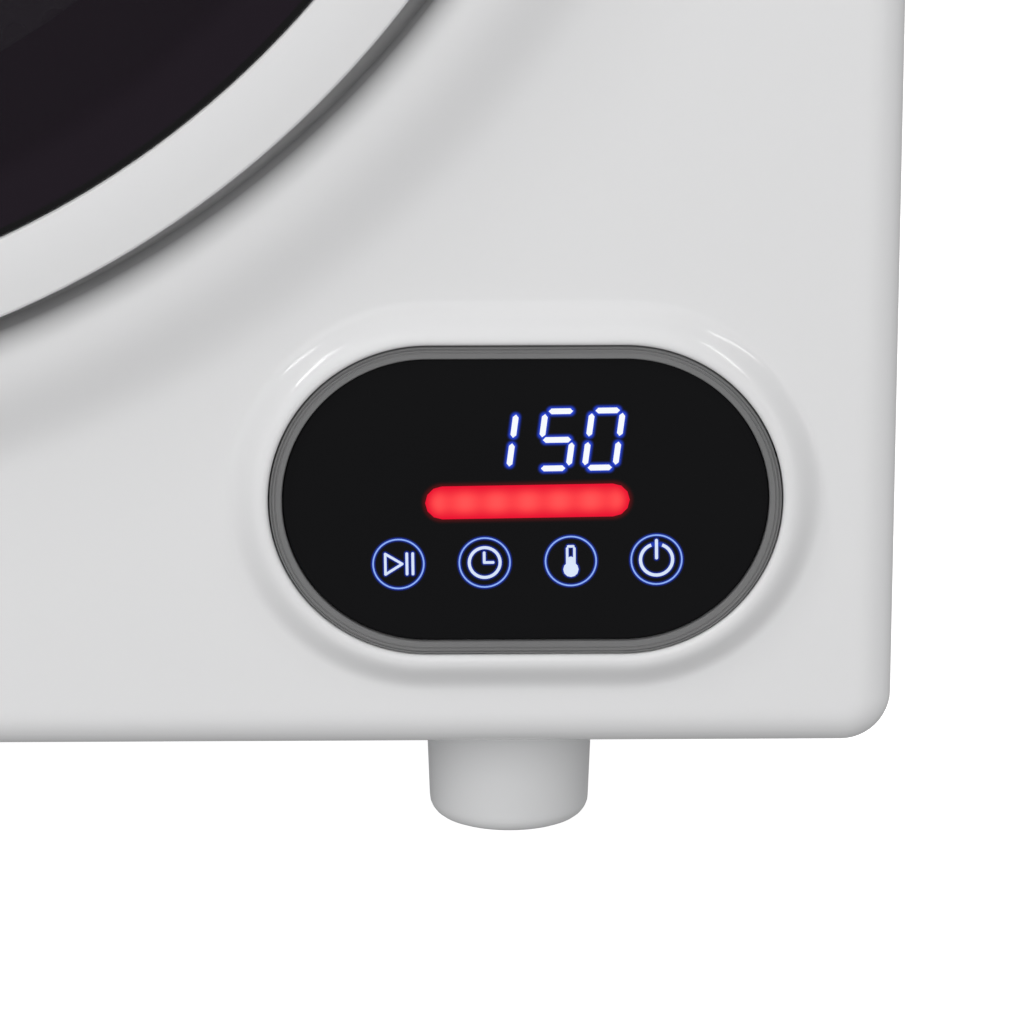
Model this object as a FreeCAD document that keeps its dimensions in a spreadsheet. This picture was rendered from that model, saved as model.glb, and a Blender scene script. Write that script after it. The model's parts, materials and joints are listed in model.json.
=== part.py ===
import FreeCAD, Part
import math
import os
import re
import Sketcher

# Compact vented clothes dryer. Millimetres: X to the right, Y to the back, Z up; the front faces -Y.
# Origin: on the floor, under the middle of the overall box.
SIZES = {
    # cabinet
    "cabinet_width": 600,
    "cabinet_height": 660,
    "body_depth": 400,
    "foot_height": 30,
    "sheet_wall": 1,
    "panel_wall": 3,
    "panel_flange": 30,
    "corner_round": 12,
    "edge_round": 9,
    "seam": 0.4,
    # door and the raised ridge round it
    "door_rise": 324,
    "door_radius": 231.5,
    "ring_width": 16.8,
    "door_out": 22,
    "door_gap": 6.5,
    "glass_fit": 0.3,
    "window_wall": 4,
    "ring_wall": 3,
    "ridge_height": 7,
    "ridge_inner_slope": 7,
    "ridge_outer_slope": 25,
    "recess_depth": 15,
    "door_overlap": 41.5,
    "collar_reach": 45,
    # hinge and latch
    "hinge_pin_radius": 3,
    "hinge_eye_radius": 5,
    "hinge_half_height": 44,
    "leaf_half_height": 30,
    # touch panel
    "touch_x": 211.7,
    "touch_rise": 62.4,
    "touch_half_width": 57.4,
    "touch_half_height": 34.2,
    "touch_out": 3,
    "bezel_width": 3.1,
    "bezel_lip": 1.2,
    "rim_crest": 3.5,
    "rim_foot": 11,
    "rim_height": 5,
    # drum
    "drum_gap": 50,
    "rear_space": 55,
    "drum_radius": 268,
    "drum_wall": 1,
    "mouth_gap": 10,
    "lifter_height": 42,
    "lifter_base": 58,
    "filter_radius": 92,
    "shaft_radius": 10,
    "running_fit": 0.05,
    # drive
    "motor_x": -228,
    "motor_rise": 73,
    "motor_radius": 52,
    "rotor_radius": 6,
    "pulley_radius": 9,
    "belt_wall": 3,
    "belt_width": 8,
    "belt_place": 200,
    "idler_radius": 14,
    "roller_radius": 20,
    "roller_x": 165,
    "axle_radius": 5,
    # air path
    "fan_radius": 48,
    "collar_radius": 49.5,
    "collar_out": 30,
    "collar_x": -110,
    "duct_wall": 1.5,
    # feet
    "foot_radius": 20.5,
    "foot_inset": 45,
    "foot_x": 209,
    "stem_radius": 5,
}

# Places that follow from the driving sizes.
PLACES = {
    "front_y": "-(body_depth + collar_out - door_out) / 2",
    "axis_z": "foot_height + door_rise",
    "top_z": "foot_height + cabinet_height",
    "floor_z": "foot_height + sheet_wall + 0.2",
    "deck_z": "floor_z + 1.5",
    "touch_z": "foot_height + touch_rise",
    "recess_radius": "door_radius + door_gap",
    "ridge_crest": "recess_radius + ridge_inner_slope",
    "ridge_foot": "ridge_crest + ridge_outer_slope",
    "opening_radius": "door_radius - door_overlap",
    "mouth_radius": "opening_radius + mouth_gap",
    "window_radius": "door_radius - ring_width - glass_fit",
    "latch_x": "opening_radius + panel_wall + 22",
    "drum_front": "drum_gap",
    "drum_rear": "body_depth - rear_space",
    "drum_length": "body_depth - rear_space - drum_gap",
    "drum_inner": "drum_radius - drum_wall",
    "motor_z": "foot_height + motor_rise",
    "duct_front": "drum_rear + 7",
    "duct_rear": "duct_front + 17",
    "fan_front": "duct_rear + 1",
    "rear_inner": "body_depth - sheet_wall",
    "hinge_x": "-(door_radius + hinge_eye_radius + 1)",
    "hinge_along": "-(door_out - 8)",
    "bulkhead_front": "panel_flange + 0.5",
    "bulkhead_rear": "bulkhead_front + 1.5",
    "roller_z": "axis_z - sqrt((drum_radius + 0.4 + roller_radius) ^ 2 - roller_x ^ 2)",
    "switch_place": "(door_radius - 13) * sqrt(0.5)",
    "heater_left": "70",
    "heater_right": "214",
    "heater_low": "axis_z + 110",
    "heater_high": "axis_z + 210",
    "inlet_x": "cabinet_width / 2 - 55",
    "inlet_z": "foot_height + 45",
}
HEATER_HOLE_Z = ("heater_low + 14", "heater_high - 14")
GRILLE_Z = ("heater_low + 4", "heater_high - 4")

doc = FreeCAD.newDocument("ClothesDryer")
sheet = doc.addObject("Spreadsheet::Sheet", "Sizes")
for row, (size_name, size_value) in enumerate(SIZES.items(), 1):
    sheet.set(f"A{row}", size_name)
    sheet.set(f"B{row}", str(size_value))
    sheet.setAlias(f"B{row}", size_name)
doc.recompute()

NODES = []


def formula(text):
    """Turn a formula of size names into an expression on the spreadsheet."""

    def swap(match):
        word = match.group(0)
        if word in PLACES:
            return "(" + formula(PLACES[word]) + ")"
        if word in SIZES:
            return "Sizes." + word
        return word

    return re.sub(r"[a-z][a-z_]*[a-z]", swap, str(text))


def number(text):
    return float(sheet.evalExpression(formula(text)))


def tie(item, prop, text):
    item.setExpression(prop, formula(text))


def place(item, x, y, z, rotation=None):
    """Put an object at x, y, z; y counts back from the cabinet's flat front face."""
    if rotation is not None:
        item.Placement = FreeCAD.Placement(FreeCAD.Vector(), rotation)
    tie(item, ".Placement.Base.x", x)
    tie(item, ".Placement.Base.y", f"front_y + ({y})")
    tie(item, ".Placement.Base.z", z)
    return item


def node(item, label):
    """Give a finished sub-part its name."""
    doc.recompute()
    item.Label = label
    NODES.append(item)
    return item


# ---- sketches and bodies ----


def new_body():
    body = doc.addObject("PartDesign::Body", "Body")
    return body


def new_sketch(body, role):
    sketch = body.newObject("Sketcher::SketchObject", "Sketch")
    plane = [f for f in body.Origin.OriginFeatures if f.Role == role][0]
    sketch.AttachmentSupport = [(plane, "")]
    sketch.MapMode = "FlatFace"
    return sketch


def polygon(sketch, points):
    """Draw a closed outline whose corners are bound to formulas."""
    corners = [FreeCAD.Vector(number(a), number(b), 0) for a, b in points]
    count = len(corners)
    for i in range(count):
        sketch.addGeometry(Part.LineSegment(corners[i], corners[(i + 1) % count]))
    for i in range(count):
        sketch.addConstraint(Sketcher.Constraint("Coincident", i, 2, (i + 1) % count, 1))
    for i in range(count):
        sides = (("DistanceX", points[i][0], corners[i].x), ("DistanceY", points[i][1], corners[i].y))
        for kind, text, at in sides:
            index = sketch.addConstraint(Sketcher.Constraint(kind, -1, 1, i, 1, at))
            if re.search("[a-z]", str(text)):
                sketch.setExpression(f"Constraints[{index}]", formula(text))


def circle(sketch, x, y, radius):
    centre = FreeCAD.Vector(number(x), number(y), 0)
    sketch.addGeometry(Part.Circle(centre, FreeCAD.Vector(0, 0, 1), number(radius)))
    for kind, text, at in (("DistanceX", x, centre.x), ("DistanceY", y, centre.y)):
        index = sketch.addConstraint(Sketcher.Constraint(kind, -1, 1, 0, 3, at))
        sketch.setExpression(f"Constraints[{index}]", formula(text))
    index = sketch.addConstraint(Sketcher.Constraint("Radius", 0, number(radius)))
    sketch.setExpression(f"Constraints[{index}]", formula(radius))


def turned(points, x, z):
    """Turn a (radius, distance behind the front) outline round an axis along Y at x, z."""
    body = new_body()
    sketch = new_sketch(body, "XY_Plane")
    polygon(sketch, points)
    spin = body.newObject("PartDesign::Revolution", "Turn")
    spin.Profile = sketch
    spin.ReferenceAxis = (sketch, ["V_Axis"])
    spin.Angle = 360
    place(body, x, 0, z)
    doc.recompute()
    return body


def turned_up(points, x, y, z):
    """Turn a (radius, height) outline round an upright axis."""
    body = new_body()
    sketch = new_sketch(body, "XZ_Plane")
    polygon(sketch, points)
    spin = body.newObject("PartDesign::Revolution", "Turn")
    spin.Profile = sketch
    spin.ReferenceAxis = (sketch, ["V_Axis"])
    spin.Angle = 360
    place(body, x, y, z)
    doc.recompute()
    return body


def extruded(points, low, high, x="0", z="0"):
    """Extrude an outline in the upright X-Z plane from low to high behind the front."""
    body = new_body()
    sketch = new_sketch(body, "XZ_Plane")
    polygon(sketch, points)
    pad = body.newObject("PartDesign::Pad", "Pad")
    pad.Profile = sketch
    pad.Reversed = True
    tie(pad, "Length", f"({high}) - ({low})")
    place(body, x, low, z)
    doc.recompute()
    return body


def rounded(width, height, low, high, corner, edge=None):
    """A cabinet-sized block with rounded upright corners and, if asked, a rounded front edge."""
    body = new_body()
    sketch = new_sketch(body, "XZ_Plane")
    half = f"({width}) / 2"
    polygon(sketch, [(f"-{half}", "0"), (half, "0"), (half, height), (f"-{half}", height)])
    pad = body.newObject("PartDesign::Pad", "Pad")
    pad.Profile = sketch
    pad.Reversed = True
    tie(pad, "Length", f"({high}) - ({low})")
    doc.recompute()
    corners = [
        f"Edge{i + 1}"
        for i, e in enumerate(pad.Shape.Edges)
        if abs(e.tangentAt(e.FirstParameter).y) > 0.9
    ]
    turn = body.newObject("PartDesign::Fillet", "Corners")
    turn.Base = (pad, corners)
    tie(turn, "Radius", corner)
    doc.recompute()
    if edge is not None:
        front = [
            f"Edge{i + 1}"
            for i, e in enumerate(turn.Shape.Edges)
            if e.BoundBox.YMax < 0.001
        ]
        soft = body.newObject("PartDesign::Fillet", "FrontEdge")
        soft.Base = (turn, front)
        tie(soft, "Radius", edge)
        doc.recompute()
    return body


# ---- primitives and booleans ----


def box(x, y, z):
    """A block between pairs of formulas along X, Y (behind the front) and Z."""
    item = doc.addObject("Part::Box", "Box")
    for prop, (low, high) in (("Length", x), ("Width", y), ("Height", z)):
        tie(item, prop, f"({high}) - ({low})")
    return place(item, x[0], y[0], z[0])


TURNS = {
    "Y": FreeCAD.Rotation(FreeCAD.Vector(1, 0, 0), -90),
    "X": FreeCAD.Rotation(FreeCAD.Vector(0, 1, 0), 90),
    "Z": FreeCAD.Rotation(),
}


def rod(axis, x, y, z, radius, length):
    """A round bar that starts at x, y, z and runs along an axis."""
    item = doc.addObject("Part::Cylinder", "Rod")
    tie(item, "Radius", radius)
    tie(item, "Height", length)
    return place(item, x, y, z, TURNS[axis])


def cone(x, y, z, radius_low, radius_high, length):
    """A cone along Y."""
    item = doc.addObject("Part::Cone", "Cone")
    tie(item, "Radius1", radius_low)
    tie(item, "Radius2", radius_high)
    tie(item, "Height", length)
    return place(item, x, y, z, TURNS["Y"])


def fuse(*pieces):
    item = doc.addObject("Part::MultiFuse", "Fuse")
    item.Shapes = list(pieces)
    item.Refine = True
    doc.recompute()
    return item


def group(*pieces):
    """Several separate solids that share one node."""
    item = doc.addObject("Part::Compound", "Group")
    item.Links = list(pieces)
    doc.recompute()
    return item


def cut(base, *tools):
    for tool in tools:
        item = doc.addObject("Part::Cut", "Cut")
        item.Base = base
        item.Tool = tool
        item.Refine = True
        doc.recompute()
        if item.Shape.Volume >= base.Shape.Volume - 1e-6:
            raise ValueError(f"a cut from {base.Label} removed nothing")
        base = item
    return base


def stadium(low, high, grow):
    """The touch panel's outline, grown on every side, from low to high behind the front."""
    radius = f"touch_half_height + ({grow})"
    straight = "touch_half_width - touch_half_height"
    length = f"({high}) - ({low})"
    middle = box(
        (f"touch_x - ({straight})", f"touch_x + ({straight})"),
        (low, high),
        (f"touch_z - ({radius})", f"touch_z + ({radius})"),
    )
    left = rod("Y", f"touch_x - ({straight})", low, "touch_z", radius, length)
    right = rod("Y", f"touch_x + ({straight})", low, "touch_z", radius, length)
    return fuse(middle, left, right)


# ---- front and controls ----


def make_front_panel():
    outer = rounded("cabinet_width", "cabinet_height", "0", "panel_flange", "corner_round", "edge_round")
    place(outer, "0", "0", "foot_height")
    inner = rounded(
        "cabinet_width - 2 * panel_wall",
        "cabinet_height - 2 * panel_wall",
        "panel_wall",
        "panel_flange + 1",
        "corner_round - panel_wall",
        "edge_round - panel_wall",
    )
    place(inner, "0", "panel_wall", "foot_height + panel_wall")
    shell = cut(outer, inner, rod("Y", "0", "-1", "axis_z", "ridge_foot", "panel_wall + 2"))
    wall = "panel_wall"
    band = turned(
        [
            ("ridge_foot + 4", "0"),
            ("ridge_foot - 3", "-0.15 * ridge_height"),
            ("ridge_foot - 9", "-0.5 * ridge_height"),
            ("ridge_crest + 6", "-0.93 * ridge_height"),
            ("ridge_crest", "-ridge_height"),
            ("ridge_crest - 3", "-0.85 * ridge_height"),
            ("recess_radius", "0"),
            ("recess_radius", "recess_depth"),
            ("opening_radius", "recess_depth"),
            ("opening_radius", "collar_reach"),
            (f"opening_radius + {wall}", "collar_reach"),
            (f"opening_radius + {wall}", f"recess_depth + {wall}"),
            (f"recess_radius + {wall}", f"recess_depth + {wall}"),
            (f"recess_radius + {wall}", "1"),
            ("ridge_crest", f"{wall} - ridge_height"),
            ("ridge_foot - 9", f"{wall} - 0.4 * ridge_height"),
            ("ridge_foot - 2", wall),
            ("ridge_foot + 4", wall),
        ],
        "0",
        "axis_z",
    )
    foot = "touch_half_height + rim_foot"
    crest = "touch_half_height + rim_crest"
    straight = "(touch_half_width - touch_half_height)"
    prism = new_body()
    sketch = new_sketch(prism, "YZ_Plane")
    polygon(
        sketch,
        [
            ("1", f"-({foot})"),
            ("0", f"-({foot})"),
            ("-rim_height", f"-({crest})"),
            ("-rim_height", crest),
            ("0", foot),
            ("1", foot),
        ],
    )
    pad = prism.newObject("PartDesign::Pad", "Pad")
    pad.Profile = sketch
    tie(pad, "Length", f"2 * {straight}")
    place(prism, f"touch_x - {straight}", "0", "touch_z")
    ends = []
    for side in ("-", "+"):
        ends.append(cone(f"touch_x {side} {straight}", "-rim_height", "touch_z", crest, foot, "rim_height"))
        ends.append(rod("Y", f"touch_x {side} {straight}", "0", "touch_z", foot, "1"))
    panel = fuse(shell, band, prism, *ends)
    hinge_slot = box(
        ("hinge_x - 9", "-recess_radius + 8"),
        ("-ridge_height - 1", "recess_depth + panel_wall + 1"),
        ("axis_z - hinge_half_height - 4", "axis_z + hinge_half_height + 4"),
    )
    latch_hole = box(
        ("latch_x - 10", "latch_x + 10"),
        ("recess_depth - 1", "recess_depth + 4"),
        ("axis_z - 14", "axis_z + 14"),
    )
    switch_hole = rod("Y", "switch_place", "recess_depth - 1", "axis_z + switch_place", "3.3", "5")
    pocket = stadium("-rim_height - 1", "panel_wall + 1", "bezel_width + glass_fit")
    node(cut(panel, hinge_slot, latch_hole, switch_hole, pocket), "front_panel")


def make_controls():
    lip = "touch_out + bezel_lip"
    node(
        cut(
            stadium(f"-({lip})", "8", "bezel_width"),
            stadium(f"-({lip}) - 1", "0", "glass_fit / 2"),
            stadium("-1", "9", "-4"),
        ),
        "control_bezel",
    )
    node(stadium("-touch_out", "0", "0"), "touch_glass")
    display = box(("touch_x - 16", "touch_x + 27"), ("0.2", "7"), ("touch_z + 5", "touch_z + 25"))
    node(display, "digit_display")
    bar = box(("touch_x - 24", "touch_x + 25"), ("0.2", "7"), ("touch_z - 4.2", "touch_z + 4.2"))
    node(bar, "light_bar")
    board = box(("touch_x - 48", "touch_x + 48"), ("9", "10.6"), ("touch_z - 26", "touch_z + 26"))
    node(board, "control_board")
    housing = box(("touch_x - 60", "touch_x + 60"), ("8.2", "24"), ("touch_z - 36", "touch_z + 36"))
    hollow = box(("touch_x - 58", "touch_x + 58"), ("8", "22"), ("touch_z - 34", "touch_z + 34"))
    node(cut(housing, hollow), "control_housing")


# ---- cabinet ----


def make_cabinet():
    start = "panel_flange + seam"
    outer = rounded("cabinet_width", "cabinet_height", start, "body_depth", "corner_round")
    place(outer, "0", start, "foot_height")
    inner = rounded(
        "cabinet_width - 2 * sheet_wall",
        "cabinet_height - 2 * sheet_wall",
        "0",
        "body_depth",
        "corner_round - sheet_wall",
    )
    place(inner, "0", f"{start} - 1", "foot_height + sheet_wall")
    floor_gap = box(
        ("-cabinet_width / 2 + 28", "cabinet_width / 2 - 28"),
        (f"{start} - 1", "body_depth + 1"),
        ("foot_height - 1", "foot_height + sheet_wall + 1"),
    )
    node(cut(outer, inner, floor_gap), "cabinet_wrap")

    inset = "sheet_wall + seam"
    flat = (f"cabinet_width - 2 * ({inset})", f"cabinet_height - 2 * ({inset})")
    bulkhead = rounded(*flat, "bulkhead_front", "bulkhead_rear", f"corner_round - ({inset})")
    place(bulkhead, "0", "bulkhead_front", f"foot_height + {inset}")
    mouth = rod("Y", "0", "bulkhead_front - 1", "axis_z", "opening_radius + panel_wall + 1", "4")
    axle_holes = [
        rod("Y", f"{side}roller_x", "bulkhead_front - 1", "roller_z", "axle_radius + 0.2", "4")
        for side in ("-", "")
    ]
    node(cut(bulkhead, mouth, *axle_holes), "front_bulkhead")

    pan_half = "cabinet_width / 2 - corner_round - 1"
    pan_width = (f"-({pan_half})", pan_half)
    pan = fuse(
        box(pan_width, ("bulkhead_rear + 0.5", "rear_inner - 0.5"), ("floor_z", "deck_z")),
        box(pan_width, ("bulkhead_rear + 0.5", "bulkhead_rear + 2"), ("floor_z", "floor_z + 18")),
        box(pan_width, ("rear_inner - 2", "rear_inner - 0.5"), ("floor_z", "floor_z + 6")),
    )
    stems = [rod("Z", x, y, "floor_z - 1", "stem_radius + 0.4", "4") for x, y in feet_places().values()]
    node(cut(pan, *stems), "base_pan")

    panel = rounded(*flat, "rear_inner", "body_depth", f"corner_round - ({inset})")
    place(panel, "0", "rear_inner", f"foot_height + {inset}")
    holes = [
        rod("Y", "collar_x", "rear_inner - 1", "motor_z", "collar_radius + 0.3", "4"),
        box(("heater_left + 16", "heater_right - 16"), ("rear_inner - 1", "body_depth + 1"), HEATER_HOLE_Z),
        rod("Y", "inlet_x", "rear_inner - 1", "inlet_z", "7.2", "4"),
    ]
    heads = []
    for x, z in screw_places():
        holes.append(rod("Y", x, "rear_inner - 1", z, "2.1", "4"))
        heads.append(
            turned([("0", "body_depth - 8"), ("1.9", "body_depth - 8"), ("1.9", "body_depth + 0.1"),
                    ("4", "body_depth + 0.1"), ("3.4", "body_depth + 2.2"), ("0", "body_depth + 2.2")], x, z)
        )
    node(cut(panel, *holes), "rear_panel")
    node(group(*heads), "rear_screws")


def screw_places():
    """The rear panel's screws, along its sides and top."""
    side = "cabinet_width / 2 - 14"
    places = []
    for sign in ("-", ""):
        for part in (0.05, 0.35, 0.65, 0.95):
            places.append((f"{sign}({side})", f"foot_height + {part} * cabinet_height"))
    places += [(f"{k} * cabinet_width", "top_z - 14") for k in (-0.2, 0.2)]
    return places


def feet_places():
    """Where each levelling foot stands: X, and Y behind the front."""
    return {
        "foot_front_left": ("-foot_x", "foot_inset"),
        "foot_front_right": ("foot_x", "foot_inset"),
        "foot_rear_left": ("-foot_x", "body_depth - foot_inset"),
        "foot_rear_right": ("foot_x", "body_depth - foot_inset"),
    }


def make_feet():
    nuts = []
    for label, (x, y) in feet_places().items():
        top = "foot_height - 0.2"
        foot = turned_up(
            [
                ("0", "0"),
                ("foot_radius - 8", "0"),
                ("foot_radius - 4.6", "1.2"),
                ("foot_radius - 2", "3.8"),
                ("foot_radius - 1", "8"),
                ("foot_radius", top),
                ("stem_radius", top),
                ("stem_radius", "foot_height + 24"),
                ("0", "foot_height + 24"),
            ],
            x,
            y,
            "0",
        )
        node(foot, label)
        block = box((f"{x} - 9", f"{x} + 9"), (f"{y} - 9", f"{y} + 9"), ("deck_z", "deck_z + 8"))
        nuts.append(cut(block, rod("Z", x, y, "deck_z - 1", "stem_radius + running_fit", "10")))
    node(group(*nuts), "foot_nuts")


# ---- door ----


def make_door():
    front = "-door_out"
    lip = "door_radius - ring_width"
    outer_in = "door_radius - ring_wall"
    seat = "1 - door_out + window_wall"
    ring = turned(
        [
            ("door_radius", "8"),
            ("door_radius", f"{front} + 1.5"),
            ("door_radius - 1.5", front),
            (lip, front),
            (lip, seat),
            (f"{lip} - 10", seat),
            (f"{lip} - 10", f"{seat} + 3"),
            (f"{lip} + 3", f"{seat} + 3"),
            (f"{lip} + 3", f"{front} + ring_wall"),
            (outer_in, f"{front} + ring_wall"),
            (outer_in, "8"),
        ],
        "0",
        "axis_z",
    )
    leaf_slot = box(
        ("-door_radius - 1", "-door_radius + 12"),
        ("hinge_along - 3.5", "hinge_along + 3.5"),
        ("axis_z - leaf_half_height - 0.5", "axis_z + leaf_half_height + 0.5"),
    )
    grip = box(("door_radius - 8", "door_radius + 1"), ("-10", "9"), ("axis_z - 45", "axis_z + 45"))
    node(cut(ring, leaf_slot, grip), "door_ring")
    window = turned(
        [("0", "1 - door_out"), ("window_radius", "1 - door_out"), ("window_radius", seat), ("0", seat)],
        "0",
        "axis_z",
    )
    node(window, "door_window")
    liner = turned(
        [
            (f"{outer_in} - 0.3", "5"),
            (f"{outer_in} - 0.3", "8"),
            ("opening_radius", "8"),
            ("opening_radius", "6.5"),
            ("opening_radius - 10", "6.5"),
            ("opening_radius - 10", "5"),
        ],
        "0",
        "axis_z",
    )
    grip_relief = box(("door_radius - 12", "door_radius + 1"), ("4", "9"), ("axis_z - 45", "axis_z + 45"))
    node(cut(liner, grip_relief), "door_liner")
    inner = turned(
        [("0", "6.8"), ("opening_radius - 0.3", "6.8"), ("opening_radius - 0.3", "9.8"), ("0", "9.8")],
        "0",
        "axis_z",
    )
    node(inner, "door_inner_window")
    gasket = turned(
        [
            ("opening_radius + 6", "8.1"),
            ("opening_radius + 14", "8.1"),
            ("opening_radius + 12", "recess_depth - 0.5"),
            ("opening_radius + 8", "recess_depth - 0.5"),
        ],
        "0",
        "axis_z",
    )
    node(gasket, "door_gasket")


def make_hinge():
    eye = "hinge_eye_radius"
    span = "leaf_half_height"
    barrel = rod("Z", "hinge_x", "hinge_along", f"axis_z - {span}", eye, f"2 * {span}")
    z_range = (f"axis_z - {span}", f"axis_z + {span}")
    arm = box(("hinge_x", "-door_radius + 11"), ("hinge_along - 3", "hinge_along + 3"), z_range)
    web = box(("-door_radius + 6", "-door_radius + 11"), ("hinge_along - 3", "4.6"), z_range)
    flange = box(("-door_radius + 6", "-door_radius + 30"), ("1.8", "4.6"), z_range)
    bore_radius = "hinge_pin_radius + running_fit"
    bore = rod("Z", "hinge_x", "hinge_along", f"axis_z - {span} - 1", bore_radius, f"2 * {span} + 2")
    node(cut(fuse(barrel, arm, web, flange), bore), "hinge_leaf")

    ears = []
    for low, high in ((f"axis_z + {span} + 1", "axis_z + hinge_half_height"),
                      ("axis_z - hinge_half_height", f"axis_z - {span} - 1")):
        ears.append(rod("Z", "hinge_x", "hinge_along", low, eye, f"({high}) - ({low})"))
        ear_width = (f"hinge_x - {eye}", f"hinge_x + {eye}")
        ears.append(box(ear_width, ("hinge_along", "panel_flange - 1"), (low, high)))
    plate = box(
        (f"hinge_x - {eye} - 14", f"hinge_x + {eye}"),
        ("panel_flange - 3", "panel_flange"),
        ("axis_z - hinge_half_height", "axis_z + hinge_half_height"),
    )
    pin_low = "axis_z - hinge_half_height - 1"
    pin_length = "2 * hinge_half_height + 2"
    pin_hole = rod("Z", "hinge_x", "hinge_along", pin_low, bore_radius, pin_length)
    node(cut(fuse(*ears, plate), pin_hole), "hinge_bracket")
    pin = rod("Z", "hinge_x", "hinge_along", pin_low, "hinge_pin_radius", pin_length)
    node(pin, "hinge_pin")


def make_latch():
    strike = box(("latch_x - 3", "latch_x + 3"), ("8.1", "recess_depth + 10"), ("axis_z - 8", "axis_z + 8"))
    node(strike, "latch_strike")
    behind = "recess_depth + panel_wall"
    catch = box(
        ("latch_x - 21", "latch_x + 14"),
        (f"{behind} + 0.2", f"{behind} + 12"),
        ("axis_z - 18", "axis_z + 18"),
    )
    hollow = box(
        ("latch_x - 19", "latch_x + 12"),
        (f"{behind} - 1", f"{behind} + 10"),
        ("axis_z - 15", "axis_z + 15"),
    )
    node(cut(catch, hollow), "latch_catch")
    bolt = box(
        ("latch_x - 13", "latch_x - 4"),
        (f"{behind} + 1.5", f"{behind} + 8"),
        ("axis_z - 6", "axis_z + 6"),
    )
    node(bolt, "latch_plunger")
    x, z = "switch_place", "axis_z + switch_place"
    body = box((f"{x} - 12", f"{x} + 12"), (f"{behind} + 0.2", f"{behind} + 12"), (f"{z} - 7", f"{z} + 7"))
    bore = rod("Y", x, f"{behind} - 1", z, "3 + running_fit", "11.5")
    node(cut(body, bore), "door_switch_body")
    node(rod("Y", x, "8.4", z, "3", "recess_depth - 2"), "door_switch_plunger")


# ---- drum ----


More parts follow.
